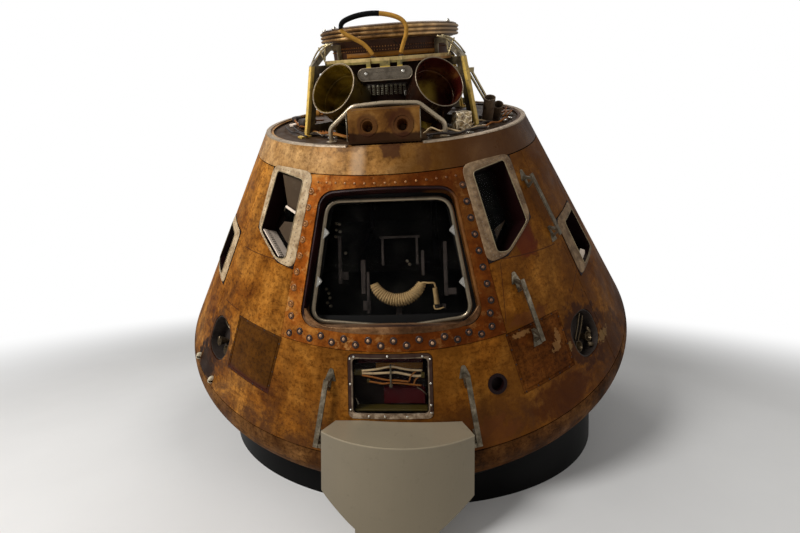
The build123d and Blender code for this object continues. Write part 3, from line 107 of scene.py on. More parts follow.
def capsule_spot(x, y, z, turn=0.0, lean=0.0):
    """Frame at a point of the upright capsule, leaned back and then turned, as (origin, axes)."""
    own = Matrix.Rotation(math.radians(turn), 3, "Z") @ Matrix.Rotation(math.radians(lean), 3, "X")
    return stood([x, y, z]), np.array(own.transposed()) @ TURNED.T


def seated(grid, spot, at=(0, 0, 0), turn=0.0):
    """Local grid turned in its own plane, moved and carried to a frame: O + (p Rz + at) . axes."""
    c, s = math.cos(math.radians(turn)), math.sin(math.radians(turn))
    local = np.asarray(grid, float) @ np.array([(c, s, 0), (-s, c, 0), (0, 0, 1)]) + at
    return spot[0] + local @ spot[1]


def skin_spots(azimuth, height, flat, out=0.0):
    """Frames on the cone over the points of a flat outline.

    Each point slides along the plane's normal until its radius is the cone's at its height.
    """
    a, level, slope = math.radians(azimuth), math.cos(CONE_ANGLE), math.tan(CONE_ANGLE)
    r0 = CONE_LOW_R - (height - CONE_LOW_Z) * slope
    middle = np.array([r0 * math.sin(a), -r0 * math.cos(a), height])
    x = np.array([math.cos(a), math.sin(a), 0])
    n = np.array([level * math.sin(a), -level * math.cos(a), math.sin(CONE_ANGLE)])
    flat = np.asarray(flat, float)
    p = middle + flat[:, :1] * x + flat[:, 1:2] * np.cross(n, x)
    for _ in range(8):
        gap = np.hypot(p[:, 0], p[:, 1]) - (CONE_LOW_R - (p[:, 2] - CONE_LOW_Z) * slope)
        p = p - (gap * level)[:, None] * n
    return skin_frames(np.degrees(np.arctan2(p[:, 0], -p[:, 1])), p[:, 2], out)


def along(corners, pitch, closed=True):
    """Evenly spaced points on a run of straight lines, by the length walked from its start."""
    c = np.asarray(corners, float)
    if closed:
        c = np.concatenate([c, c[:1]])
    walked = np.concatenate([[0], np.cumsum(np.linalg.norm(np.diff(c, axis=0), axis=1))])
    count = max(2, round(walked[-1] / pitch))
    at = np.linspace(0, walked[-1], count, endpoint=not closed)
    return np.stack([np.interp(at, walked, c[:, k]) for k in range(c.shape[1])], -1)


# Surfaces


def piece(name, grids, finish, smooth=True, weld=1e-5):
    """Mesh object from grids of points, arrays (copies, rows, columns, 3) whose cells become quads."""
    verts, quads, start = [], [], 0
    for grid in grids:
        grid = np.asarray(grid, float)
        if grid.ndim == 3:
            grid = grid[None]
        n, rows, cols, _ = grid.shape
        index = start + np.arange(n * rows * cols).reshape(n, rows, cols)
        cell = np.stack(
            [index[:, :-1, :-1], index[:, :-1, 1:], index[:, 1:, 1:], index[:, 1:, :-1]], -1
        )
        verts.append(grid.reshape(-1, 3))
        quads.append(cell.reshape(-1, 4))
        start += n * rows * cols
    mesh = bpy.data.meshes.new(name)
    mesh.from_pydata(np.concatenate(verts).tolist(), [], np.concatenate(quads).tolist())
    work = bmesh.new()
    work.from_mesh(mesh)
    bmesh.ops.remove_doubles(work, verts=work.verts, dist=weld)
    bmesh.ops.dissolve_degenerate(work, edges=work.edges, dist=weld)
    bmesh.ops.recalc_face_normals(work, faces=work.faces)
    work.to_mesh(mesh)
    work.free()
    mesh.polygons.foreach_set("use_smooth", [smooth] * len(mesh.polygons))
    mesh.materials.append(FINISHES[finish])
    thing = bpy.data.objects.new(name, mesh)
    bpy.context.scene.collection.objects.link(thing)
    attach(thing, HULL)
    return thing


def turned(profile, origins, axes, steps=16):
    """Profile (radius, height) turned about each frame's third axis: O + r cos t X + r sin t Y + h Z"""
    r, h = np.array(profile, float).T
    t = np.linspace(0, 2 * np.pi, steps + 1)
    t[-1] = t[0]
    r, h = r[:, None], h[:, None]
    local = np.stack([r * np.cos(t), r * np.sin(t), h * np.ones_like(t)], -1)
    return origins[:, None, None, :] + np.einsum("rck,nkj->nrcj", local, axes)


def smoothed(points, steps=8):
    """Catmull-Rom curve through the points: cubic blend of four neighbours at even steps."""
    p = np.asarray(points, float)
    p = np.concatenate([[2 * p[0] - p[1]], p, [2 * p[-1] - p[-2]]])
    t = np.linspace(0, 1, steps, endpoint=False)[None, :, None]
    a, b, c, d = (p[i : len(p) - 3 + i, None, :] for i in range(4))
    curve = 0.5 * (
        2 * b + (c - a) * t + (2 * a - 5 * b + 4 * c - d) * t**2 + (3 * b - 3 * c + d - a) * t**3
    )
    return np.concatenate([curve.reshape(-1, 3), p[-2][None]])


def tube(path, radius, steps=10, capped=True):
    """Round tube along a path: P + r (cos t N + sin t B), with N and B square to its direction."""
    path = np.asarray(path, float)
    radius = np.broadcast_to(np.asarray(radius, float), len(path)).copy()
    if capped:
        path = np.concatenate([path[:1], path, path[-1:]])
        radius = np.concatenate([[0], radius, [0]])
    run = np.gradient(path, axis=0)
    if capped:
        run[0] = run[1] = run[2]
        run[-1] = run[-2] = run[-3]
    run /= np.linalg.norm(run, axis=1, keepdims=True)
    across = np.zeros(3)
    across[np.argmin(np.ptp(path, axis=0))] = 1
    side = np.cross(run, across)
    side /= np.linalg.norm(side, axis=1, keepdims=True)
    t = np.linspace(0, 2 * np.pi, steps + 1)[:, None]
    t[-1] = t[0]
    ring = side[:, None] * np.cos(t) + np.cross(run, side)[:, None] * np.sin(t)
    return path[:, None] + radius[:, None, None] * ring


def rounded(corners, radius, steps=8):
    """Outline with round corners: a quadratic blend between points set back from each corner."""
    c = np.asarray(corners, float)
    before, after = np.roll(c, 1, 0) - c, np.roll(c, -1, 0) - c
    start = c + before / np.linalg.norm(before, axis=1, keepdims=True) * radius
    end = c + after / np.linalg.norm(after, axis=1, keepdims=True) * radius
    t = np.linspace(0, 1, steps)[None, :, None]
    bend = (1 - t) ** 2 * start[:, None] + 2 * t * (1 - t) * c[:, None] + t**2 * end[:, None]
    return bend.reshape(-1, 2)


def band(outer, inner, rise, spread):
    """Closed ring between two outlines, from rows of (share from inner to outer, height).

    spread(points, height) lays each row.
    """
    rows = np.stack([spread(inner + k * (outer - inner), h) for k, h in rise])
    return np.concatenate([rows, rows[:, :1]], 1)


def divided(outer, inner, gap=0.03):
    """Both outlines with long edges cut into equal short ones, so that a sheet follows the cone."""
    outer, inner = np.asarray(outer, float), np.asarray(inner, float)
    counts = np.ceil(np.linalg.norm(np.roll(outer, -1, 0) - outer, axis=1) / gap).astype(int).clip(1)
    edge = np.repeat(np.arange(len(outer)), counts)
    share = (np.arange(len(edge)) - np.repeat(np.cumsum(counts) - counts, counts)) / counts[edge]
    ahead = [(line, np.roll(line, -1, 0)) for line in (outer, inner)]
    return [line[edge] + share[:, None] * (later[edge] - line[edge]) for line, later in ahead]


def shrunk(outline, rows):
    """Outline scaled about the origin, a row for each (scale, height)."""
    return np.stack([np.c_[k * outline, np.full(len(outline), h)] for k, h in rows])


def slab(corners, low, high):
    """Flat plate: an outline (x, y) at two heights, closed by rings that shrink to its middle."""
    c = np.asarray(corners, float)
    c = np.concatenate([c, c[:1]])
    mid = c[:-1].mean(0)
    rings = [(mid + 0 * c, low), (c, low), (c, high), (mid + 0 * c, high)]
    return np.stack([np.c_[ring, np.full(len(ring), z)] for ring, z in rings])


def block(size, edge):
    """Box with bevelled edges as stacked rings: the eight-cornered outline draws in at foot and top."""
    x, y, z = np.asarray(size, float) / 2
    near, far = np.array([1, 0, 0, 1, 1, 0, 0, 1, 1]), np.array([0, 1, 1, 0, 0, 1, 1, 0, 0])
    x_side = np.array([1, 1, -1, -1, -1, -1, 1, 1, 1])
    y_side = np.array([1, 1, 1, 1, -1, -1, -1, -1, 1])

    def ring(inset, h):
        a, b = x - inset - edge * far, y - inset - edge * near
        return np.c_[a * x_side, b * y_side, np.full(9, h)]

    middle = [np.tile((0, 0, h), (9, 1)) for h in (-z, z)]
    rings = [ring(edge, -z), ring(0, -z + edge), ring(0, z - edge), ring(edge, z)]
    return np.stack([middle[0], *rings, middle[1]])


def box_at(size, edge, spot, at=(0, 0, 0), turn=0.0):
    """Bevelled box seated on a frame."""
    return seated(block(size, edge), spot, at, turn)


def head(r, h):
    """Profile of a low domed head of radius r and height h."""
    shares = [(0, 1), (0.4, 0.97), (0.75, 0.8), (0.95, 0.5), (1, 0.2)]
    return [(a * r, b * h) for a, b in shares] + [(r, -0.001), (0, -0.001)]


def boxes(spot, *rows):
    """Bevelled boxes on one frame, from rows of size, edge, place and turn."""
    return [box_at(size, edge, spot, at, *turn) for size, edge, at, *turn in rows]


def bent_tube(spot, points, steps, r, sides=8):
    """Round tube on a smooth line through a few points of a frame."""
    return seated(tube(smoothed(points, steps), r, sides), spot)


def stud(r, h, spot, at=(0, 0, 0), steps=8):
    """One domed head seated on a frame."""
    return seated(turned(head(r, h), np.zeros((1, 3)), np.eye(3)[None], steps), spot, at)


# Finishes


class Finish:
    """One procedural material: a principled shader and the nodes that feed it."""

    def __init__(self, name, metal=0.0, gloss=0.5, tint=(1, 1, 1), rough=0.5):
        self.material = bpy.data.materials.new(name)
        self.material.use_nodes = True
        self.tree = self.material.node_tree
        self.shader = self.tree.nodes["Principled BSDF"]
        self.set("Metallic", metal)
        self.set("Specular IOR Level", gloss)
        self.set("Specular Tint", (*tint, 1))
        self.set("Roughness", rough)
        self.object = self.node("ShaderNodeTexCoord").outputs["Object"]

    def node(self, kind, **settings):
        made = self.tree.nodes.new(kind)
        for key, value in settings.items():
            setattr(made, key, value)
        return made

    def feed(self, socket, value):
        if hasattr(value, "is_linked"):
            self.tree.links.new(value, socket)
        else:
            socket.default_value = value

    def set(self, name, value):
        self.feed(self.shader.inputs[name], value)

    def upright(self):
        """Object coordinates turned back to the upright capsule."""
        made = self.node("ShaderNodeMapping", vector_type="TEXTURE")
        self.feed(made.inputs["Vector"], self.object)
        made.inputs["Location"].default_value = CAPSULE_AT
        made.inputs["Rotation"].default_value = STAND.to_euler("XYZ")
        return made.outputs[0]

    def scaled(self, vector, scale):
        made = self.node("ShaderNodeMapping")
        self.feed(made.inputs["Vector"], vector)
        made.inputs["Scale"].default_value = scale
        return made.outputs[0]

    def noise(self, scale, detail=4, rough=0.55, vector=None, bend=0.0):
        made = self.node("ShaderNodeTexNoise")
        self.feed(made.inputs["Vector"], self.object if vector is None else vector)
        made.inputs["Scale"].default_value = scale
        made.inputs["Detail"].default_value = detail
        made.inputs["Roughness"].default_value = rough
        made.inputs["Distortion"].default_value = bend
        return made.outputs["Fac"]

    def cells(self, scale, feature="F1"):
        made = self.node("ShaderNodeTexVoronoi", feature=feature)
        self.feed(made.inputs["Vector"], self.object)
        made.inputs["Scale"].default_value = scale
        return made.outputs["Distance"]

    def ramp(self, factor, stops):
        made = self.node("ShaderNodeValToRGB")
        self.feed(made.inputs["Fac"], factor)
        line = made.color_ramp.elements
        while len(line) < len(stops):
            line.new(0.5)
        for element, (place, colour) in zip(line, stops):
            element.position = place
            grey = colour if hasattr(colour, "__len__") else (colour,) * 3
            element.color = (*grey, 1)
        return made.outputs["Color"]

    def mix(self, factor, a, b, blend="MIX"):
        made = self.node("ShaderNodeMix", data_type="RGBA", blend_type=blend)
        self.feed(made.inputs["Factor"], factor)
        self.feed(made.inputs[6], a if hasattr(a, "is_linked") else (*a, 1))
        self.feed(made.inputs[7], b if hasattr(b, "is_linked") else (*b, 1))
        return made.outputs[2]

    def cover(self, colour, tone, mask, amount):
        """A second tone laid over a colour where the mask is 1, by the amount."""
        return self.mix(self.times(mask, amount), colour, tone)

    def shaded(self, colour, amount, factor, stops):
        """A colour multiplied by a ramp, by the amount."""
        return self.mix(amount, colour, self.ramp(factor, stops), "MULTIPLY")

    def roughen(self, factor, low, high):
        self.set("Roughness", self.ramp(factor, [(0.3, low), (0.7, high)]))

    def maths(self, how, *values):
        made = self.node("ShaderNodeMath", operation=how)
        for socket, value in zip(made.inputs, values):
            self.feed(socket, value)
        return made.outputs[0]

    def times(self, a, b):
        return self.maths("MULTIPLY", a, b)

    def plus(self, a, b):
        return self.maths("ADD", a, b)

    def minus(self, a, b):
        return self.maths("SUBTRACT", a, b)

    def hypot(self, a, b):
        """Root of a squared plus b squared."""
        return self.maths("SQRT", self.plus(self.times(a, a), self.times(b, b)))

    def between(self, value, low, high, to_low=0.0, to_high=1.0):
        """Value carried from one range to another, held at the ends."""
        made = self.node("ShaderNodeMapRange", clamp=True, interpolation_type="SMOOTHSTEP")
        for place, v in enumerate((value, low, high, to_low, to_high)):
            self.feed(made.inputs[place], v)
        return made.outputs[0]

    def split(self, vector):
        made = self.node("ShaderNodeSeparateXYZ")
        self.feed(made.inputs[0], vector)
        return made.outputs

    def joined(self, x, y, z):
        made = self.node("ShaderNodeCombineXYZ")
        for socket, value in zip(made.inputs, (x, y, z)):
            self.feed(socket, value)
        return made.outputs[0]

    def patch(self, place, at, reach, soft=0.35, ragged=0.45, scale=16):
        """1 inside an oval patch at (azimuth, height), 0 outside, with a ragged edge."""
        u, v = (self.maths("DIVIDE", self.minus(p, a), r) for p, a, r in zip(place, at, reach))
        stray = self.times(self.minus(self.noise(scale, 5), 0.5), 4 * ragged)
        return self.between(self.plus(self.hypot(u, v), stray), 1.0, 1.0 - soft)

    def seam(self, place, start, end, width=0.0035):
        """1 on a thin line between two (azimuth, height) points, 0 beside it."""
        level = abs(end[0] - start[0]) * DEGREE_WIDE > abs(end[1] - start[1])
        order = (0, 1) if level else (1, 0)
        (r0, c0), (r1, c1) = ([point[k] for k in order] for point in (start, end))
        run, across = (place[k] for k in order)
        slope = (c1 - c0) / (r1 - r0)
        off = self.minus(across, self.maths("MULTIPLY_ADD", run, slope, c0 - r0 * slope))
        if not level:
            off = self.times(off, DEGREE_WIDE)
        on = self.between(self.maths("ABSOLUTE", off), width, width * 0.4)
        on = self.times(on, self.maths("GREATER_THAN", run, min(r0, r1)))
        return self.times(on, self.maths("LESS_THAN", run, max(r0, r1)))

    def bump(self, height, distance, strength=1.0):
        made = self.node("ShaderNodeBump")
        self.feed(made.inputs["Height"], height)
        made.inputs["Distance"].default_value = distance
        made.inputs["Strength"].default_value = strength
        if self.shader.inputs["Normal"].is_linked:
            self.feed(made.inputs["Normal"], self.shader.inputs["Normal"].links[0].from_socket)
        self.set("Normal", made.outputs[0])


def polar(f):
    """Azimuth in degrees and height on the upright capsule, and a vector without a seam."""
    x, y, z = f.split(f.upright())
    a = f.maths("ARCTAN2", x, f.times(y, -1.0))

    def wound(around, up):
        """(around sin a, around cos a, up z)."""
        flat = [f.times(f.maths(how, a), around) for how in ("SINE", "COSINE")]
        return f.joined(*flat, f.times(z, up))

    return f.times(a, 180 / math.pi), z, wound


def varnished(name, dark, middle, light, rough=0.42, wear=1.0, marks=None, sheen=0.06):
    """Scorched resin skin: blotches, streaks up the cone, fine mottling, specks and a satin varnish."""
    f = Finish(name, gloss=sheen, tint=(1, 0.62, 0.3))
    azimuth, z, wound = polar(f)
    blotch = f.noise(2.6, 9, 0.62, bend=0.5)
    colour = f.ramp(blotch, [(0.34, dark), (0.47, middle), (0.62, light)])
    streak = f.noise(1.5, 7, 0.62, vector=wound(9.0, 0.9))
    colour = f.shaded(
        colour, 0.75 * wear, streak,
        [(0.32, (0.4, 0.33, 0.26)), (0.5, (0.9, 0.88, 0.85)), (0.68, (1.2, 1.17, 1.12))]
    )
    grain = f.noise(1.0, 9, 0.74, vector=wound(16.0, 34.0))
    colour = f.shaded(
        colour, 0.8 * wear, grain,
        [(0.36, (0.4, 0.32, 0.24)), (0.46, (0.96, 0.94, 0.9)), (0.62, (1.24, 1.22, 1.15))]
    )
    fine = f.noise(48, 8, 0.76)
    colour = f.shaded(
        colour, 0.9 * wear, fine,
        [(0.38, (0.42, 0.34, 0.25)), (0.5, (1.02, 1.01, 0.98)), (0.62, (1.2, 1.18, 1.13))]
    )
    spots = f.ramp(f.cells(7.0), [(0.0, 1.0), (0.03, 0.9), (0.055, 0.0)])
    colour = f.cover(colour, (0.03, 0.009, 0.003), spots, 0.6 * wear)
    mottle = f.noise(13, 6, 0.66, bend=0.3)
    colour = f.shaded(colour, 0.5 * wear, mottle, [(0.4, (0.6, 0.52, 0.42)), (0.6, (1.14, 1.12, 1.1))])
    specks = f.ramp(f.cells(31), [(0.0, 1.0), (0.08, 0.0)])
    colour = f.cover(colour, (0.06, 0.022, 0.008), specks, 0.55 * wear)
    # Some of the marks passed in hold painted shade and a painted highlight besides real marks.
    if marks:
        colour = marks(f, colour, (azimuth, z))
    f.set("Base Color", colour)
    f.roughen(f.noise(6, 6, 0.6), rough * 0.75, min(1.0, rough * 1.4))
    f.bump(blotch, 0.004, 0.3)
    f.bump(mottle, 0.0025, 0.35)
    f.bump(fine, 0.001, 0.6)
    f.bump(grain, 0.0012, 0.4)
    return f.material


def skin_marks_and_shade(f, colour, place):
    """Soot low down, a darker, redder right side that is partly real scorch and partly painted shade,
    flow marks under the windows and joint lines.
    """
    azimuth, z = place
    ragged = f.ramp(f.noise(4.2, 8, 0.7, bend=0.6), [(0.42, 0.0), (0.58, 1.0)])
    cloud = f.ramp(f.noise(3.4, 7, 0.65), [(0.36, 0.25), (0.6, 1.0)])
    cloud = f.times(cloud, f.between(azimuth, 176.0, 110.0))
    # Darker from the left toward the right: partly real scorch, partly painted shade of the light
    # falling from the left.
    colour = f.cover(colour, (0.095, 0.033, 0.004), f.between(azimuth, -30.0, 2.0, 0.0, 0.75), cloud)
    colour = f.cover(colour, (0.085, 0.026, 0.0035), f.between(azimuth, 8.0, 36.0, 0.0, 0.85), cloud)
    away = f.between(f.maths("ABSOLUTE", azimuth), 60.0, 130.0, 0.0, 0.6)
    colour = f.mix(away, colour, (0.135, 0.052, 0.01))
    low = f.times(f.between(z, 0.98, 0.7), ragged)
    colour = f.cover(colour, (0.055, 0.02, 0.008), low, 0.85)
    for at, reach, tone, amount in (
        ((-47.5, 0.745), (6.0, 0.14), (0.014, 0.007, 0.005), 0.95),
        ((44.5, 0.94), (8.6, 0.205), (0.03, 0.01, 0.006), 0.85),
        ((-44.5, 0.93), (8.2, 0.19), (0.045, 0.017, 0.008), 0.75),
        ((36.0, 1.54), (3.4, 0.12), (0.09, 0.014, 0.006), 0.75),
        ((39.0, 1.66), (2.4, 0.2), (0.08, 0.014, 0.006), 0.8),
        ((33.0, 0.74), (9.0, 0.1), (0.05, 0.012, 0.003), 0.7),
        ((16.0, 0.72), (7.0, 0.09), (0.1, 0.03, 0.008), 0.6),
        ((53.0, 0.8), (8.0, 0.15), (0.045, 0.014, 0.004), 0.7),
        ((31.0, 1.18), (6.0, 0.04), (0.1, 0.03, 0.01), 0.6),
    ):
        colour = f.cover(colour, tone, f.patch(place, at, reach), amount)
    for at, reach in (((38.4, 0.94), (0.9, 0.03)), ((50.0, 0.84), (3.0, 0.03))):
        colour = f.cover(colour, (0.24, 0.14, 0.05), f.patch(place, at, reach, 0.3, 0.6, 46), 0.6)
    for start, end in (
        ((-28, 1.512), (-46, 1.49)), ((27.3, 1.479), (24.6, 1.19)), ((28, 1.49), (47, 1.44)),
        ((-47.2, 1.15), (-40.0, 1.16)), ((45, 1.16), (56, 1.3))
    ):
        colour = f.cover(colour, (0.04, 0.012, 0.006), f.seam(place, start, end), 0.8)
    return colour


def crown_marks_and_light(f, colour, place):
    """Dark run under the thruster block, a pale satin streak to its left that is a painted highlight,
    and a darker, redder right half that is partly its own colour and partly painted shade.
    """
    azimuth = place[0]
    cloud = f.ramp(f.noise(3.0, 6, 0.6), [(0.35, 0.7), (0.6, 1.0)])
    cloud = f.times(cloud, f.between(azimuth, 176.0, 110.0))
    # Pale satin streak: a painted highlight.
    streak = f.times(f.between(f.maths("ABSOLUTE", f.minus(azimuth, -8.5)), 3.4, 0.6), cloud)
    colour = f.cover(colour, (0.72, 0.52, 0.34), streak, 0.35)
    # Darker from the middle toward the right: partly its own colour, partly painted shade.
    colour = f.cover(colour, (0.08, 0.028, 0.003), f.between(azimuth, -5.0, 7.0, 0.0, 0.88), cloud)
    colour = f.cover(colour, (0.046, 0.012, 0.0015), f.between(azimuth, 10.0, 26.0, 0.0, 0.85), cloud)
    for at, reach, amount in (
        ((2.2, 2.085), (4.4, 0.055), 0.85), ((12.0, 2.04), (3.0, 0.1), 0.35),
        ((-12.0, 2.1), (6.0, 0.03), 0.5)
    ):
        colour = f.cover(colour, (0.045, 0.015, 0.008), f.patch(place, at, reach), amount)
    return colour


def surround_marks_and_shade(f, colour, place):
    """Bright orange on the left, dark red-brown on the right and below, partly its own colour and
    partly painted shade, with lighter rubs.
    """
    azimuth, z = place
    # Darker toward the right and below: partly its own colour, partly painted shade.
    dark = f.between(azimuth, -19.0, 8.0, 0.0, 0.9)
    low = f.between(z, 1.3, 1.17, 0.0, 0.45)
    colour = f.cover(
        colour, (0.05, 0.01, 0.002), f.maths("MAXIMUM", dark, low),
        f.ramp(f.noise(5, 6, 0.6), [(0.3, 0.72), (0.6, 1.0)])
    )
    rub = f.times(
        f.ramp(f.noise(16, 6, 0.7), [(0.56, 0.0), (0.64, 0.6)]),
        f.between(azimuth, -14.0, 6.0, 1.0, 0.25)
    )
    return f.mix(rub, colour, (0.5, 0.25, 0.075))


def left_panel_marks(f, colour, place):
    """A dark strip along the lower edge and a soft shade under the top edge."""
    z = place[1]
    colour = f.mix(f.between(z, 0.885, 0.862, 0.0, 0.8), colour, (0.05, 0.014, 0.01))
    return f.mix(f.between(z, 1.1, 1.15, 0.0, 0.5), colour, (0.06, 0.024, 0.008))


def right_panel_marks(f, colour, place):
    """Peeled pale patches at the upper left and down the right side."""
    for at, reach in (
        ((27.4, 1.118), (2.6, 0.016)), ((36.0, 1.02), (0.8, 0.05)), ((35.0, 0.985), (1.5, 0.028))
    ):
        colour = f.cover(colour, (0.26, 0.13, 0.045), f.patch(place, at, reach, 0.25, 0.5, 46), 0.6)
    return colour


def metallic(name, colour, rough=0.35, dirt=0.3, scale=20, metal=1.0, grime=(0.05, 0.04, 0.03)):
    """Bare or plated metal with handling marks and grime in its hollows."""
    f = Finish(name, metal)
    wear = f.noise(scale, 6, 0.65)
    shade = f.shaded(colour, 0.6, f.noise(scale * 0.3, 4), [(0.3, 0.75), (0.7, 1.1)])
    f.set("Base Color", f.mix(f.ramp(wear, [(0.5, 0.0), (0.72, dirt)]), shade, grime))
    f.roughen(wear, rough * 0.8, min(1, rough * 1.5))
    f.bump(f.noise(scale * 4, 4), 0.0006, 0.4)
    return f.material


def painted(name, colour, chip, rough, scale, amount=0.5):
    """Paint with blotches, thin scratches and chips down to a darker base."""
    f = Finish(name, gloss=0.14)
    shade = f.shaded(colour, 0.55, f.noise(scale * 0.4, 6, 0.6), [(0.3, 0.6), (0.7, 1.15)])
    chips = f.ramp(f.noise(scale * 2.2, 8, 0.7), [(0.56, 0.0), (0.64, amount)])
    scratch = f.ramp(f.cells(scale * 1.5, "DISTANCE_TO_EDGE"), [(0.0, 0.5 * amount), (0.02, 0.0)])
    f.set("Base Color", f.mix(f.maths("MAXIMUM", chips, scratch), shade, chip))
    f.roughen(f.noise(scale, 4), rough * 0.8, min(1, rough * 1.3))
    f.bump(f.noise(scale * 6, 4), 0.0005, 0.5)
    return f.material


def glazing(name, haze):
    """Old clear pane: mostly open to light, with a weak reflection, faint haze and dusty smears."""
    f = Finish(name, gloss=0.15)
    smear = f.noise(5, 7, 0.65, bend=1.2)
    f.set("Alpha", f.ramp(smear, [(0.4, haze), (0.75, 1.35 * haze)]))
    f.set("Base Color", f.ramp(smear, [(0.45, (0.006, 0.006, 0.006)), (0.78, (0.06, 0.056, 0.048))]))
    f.set("Roughness", f.ramp(f.noise(9, 5), [(0.45, 0.04), (0.75, 0.16)]))
    return f.material


# Outer edge of a gusset below its kink: radius and height of the kink, radius gained per metre down
GUSSET_KINK_R = 0.638
GUSSET_KINK_Z = 2.492
GUSSET_SLOPE = 0.122 / 0.402
# Right canister: middle of its mouth, direction out of it, and squares of radii inside its wall
CAN_MOUTH = (0.328, -0.591, 2.37)
CAN_AXIS = (0.3922, -0.7076, 0.5878)
CAN_INSIDE = 0.1515 ** 2
CAN_WALL = (0.023, 0.0232)
THRUSTER_JETS = ((0.104, 0.082, 0.8), (-0.092, 0.068, 0.6))
JET_Z = 2.197


def gusset_paint(name, yellow):
    """Gussets: pale yellow on the sloping flange below the kink, a dark web, bare metal above."""
    f = Finish(name)
    x, y, z = f.split(f.upright())
    edge = f.maths("MULTIPLY_ADD", z, -GUSSET_SLOPE, GUSSET_KINK_R + GUSSET_KINK_Z * GUSSET_SLOPE)
    flange = f.between(f.minus(edge, f.hypot(x, y)), 0.02, 0.016)
    high = f.between(z, 2.486, 2.496)
    chips = f.ramp(f.noise(38, 8, 0.7), [(0.5, 0.0), (0.6, 1.0)])
    paint = f.shaded(yellow, 0.6, f.noise(7, 6, 0.62), [(0.32, 0.55), (0.62, 1.12)])
    paint = f.cover(paint, (0.17, 0.095, 0.03), chips, 0.55)
    web = f.ramp(
        f.noise(11, 7, 0.66),
        [(0.36, (0.02, 0.013, 0.007)), (0.56, (0.075, 0.052, 0.022)), (0.7, (0.19, 0.14, 0.055))]
    )
    bare = f.ramp(f.noise(16, 7, 0.66), [(0.38, (0.06, 0.045, 0.028)), (0.6, (0.32, 0.27, 0.18))])
    f.set("Base Color", f.mix(high, f.mix(flange, web, paint), bare))
    f.set("Roughness", f.ramp(chips, [(0.0, 0.38), (1.0, 0.6)]))
    f.bump(chips, 0.0006, -0.5)
    f.bump(f.noise(70, 4), 0.0005, 0.4)
    return f.material


def hatch_reveal_paint(name):
    """Stepped reveal: near-black maroon at left and top and orange-brown at right, painted shade on the
    walls that face away from the light and painted light on the wall that faces it; worn tan below.
    """
    f = Finish(name, gloss=0.3)
    azimuth, z = polar(f)[:2]
    stain = f.noise(9, 7, 0.66)
    maroon = f.ramp(stain, [(0.36, (0.006, 0.001, 0.001)), (0.62, (0.026, 0.004, 0.003))])
    brown = f.ramp(stain, [(0.34, (0.1, 0.03, 0.006)), (0.62, (0.22, 0.085, 0.016))])
    tan = f.ramp(stain, [(0.34, (0.055, 0.026, 0.012)), (0.62, (0.18, 0.095, 0.045))])
    # Right wall lighter than the left and top ones: painted light and shade.
    side = f.times(f.between(azimuth, 10.0, 13.0), f.between(z, 1.87, 1.82))
    colour = f.mix(side, maroon, brown)
    colour = f.mix(f.between(f.maths("MULTIPLY_ADD", azimuth, 0.0006, z), 1.27, 1.245), colour, tan)
    f.set("Base Color", colour)
    f.roughen(stain, 0.32, 0.55)
    f.bump(stain, 0.0006, 0.4)
    return f.material


def ring_copper(name):
    """Docking ring: copper-brown lips, painted shade in the grooves between them, paler toward the
    right end.
    """
    f = Finish(name, 0.55)
    x, y, _ = f.split(f.upright())
    r = f.hypot(x, y)
    stain = f.noise(8, 7, 0.64)
    colour = f.ramp(
        stain, [(0.36, (0.085, 0.034, 0.008)), (0.5, (0.3, 0.155, 0.048)), (0.64, (0.72, 0.45, 0.18))]
    )
    colour = f.cover(colour, (0.72, 0.52, 0.32), f.between(x, 0.1, 0.42), 0.55)
    # Dark grooves between the lips: painted shade.
    groove_shade = f.times(f.between(r, 0.476, 0.472), f.between(r, 0.44, 0.452, 0.0, 0.75))
    f.set("Base Color", f.cover(colour, (0.022, 0.008, 0.003), groove_shade, 0.92))
    f.roughen(stain, 0.3, 0.5)
    f.bump(stain, 0.001, 0.4)
    f.bump(f.noise(60, 4), 0.0005, 0.4)
    return f.material


def bay_border_paint(name):
    """Border of the equipment bay: scorched outer edge, dull grey inner line, worn pale strip below."""
    f = Finish(name, 0.1, 0.15)
    x, _, z = f.split(f.upright())
    stain = f.noise(22, 7, 0.68)
    grey = f.ramp(stain, [(0.36, (0.06, 0.04, 0.026)), (0.62, (0.24, 0.175, 0.115))])
    worn = f.ramp(
        stain, [(0.36, (0.05, 0.026, 0.014)), (0.5, (0.2, 0.135, 0.085)), (0.64, (0.42, 0.32, 0.22))]
    )
    scorch = f.maths(
        "MAXIMUM", f.between(z, 1.1215, 1.1245), f.between(f.maths("ABSOLUTE", x), 0.2135, 0.2165)
    )
    colour = f.cover(grey, (0.022, 0.006, 0.004), scorch, 0.9)
    f.set("Base Color", f.mix(f.between(z, 0.876, 0.87), colour, worn))
    f.roughen(stain, 0.35, 0.6)
    f.bump(stain, 0.0006, 0.5)
    return f.material


def foil_wrap(name):
    """Crumpled foil: sharp bright folds, dull ochre hollows."""
    f = Finish(name, 0.7)
    folds = f.ramp(f.cells(30, "DISTANCE_TO_EDGE"), [(0.0, 1.0), (0.16, 0.0)])
    facets = f.ramp(
        f.noise(34, 6, 0.7, bend=1.0),
        [(0.4, (0.16, 0.085, 0.025)), (0.52, (0.62, 0.45, 0.24)), (0.62, (1.0, 0.86, 0.62))]
    )
    f.set("Base Color", f.cover(facets, (1.0, 0.9, 0.7), folds, 0.5))
    f.set("Roughness", f.ramp(f.noise(22, 5), [(0.35, 0.25), (0.65, 0.55)]))
    f.bump(folds, 0.003, 0.8)
    f.bump(f.noise(34, 5), 0.003, 0.6)
    return f.material


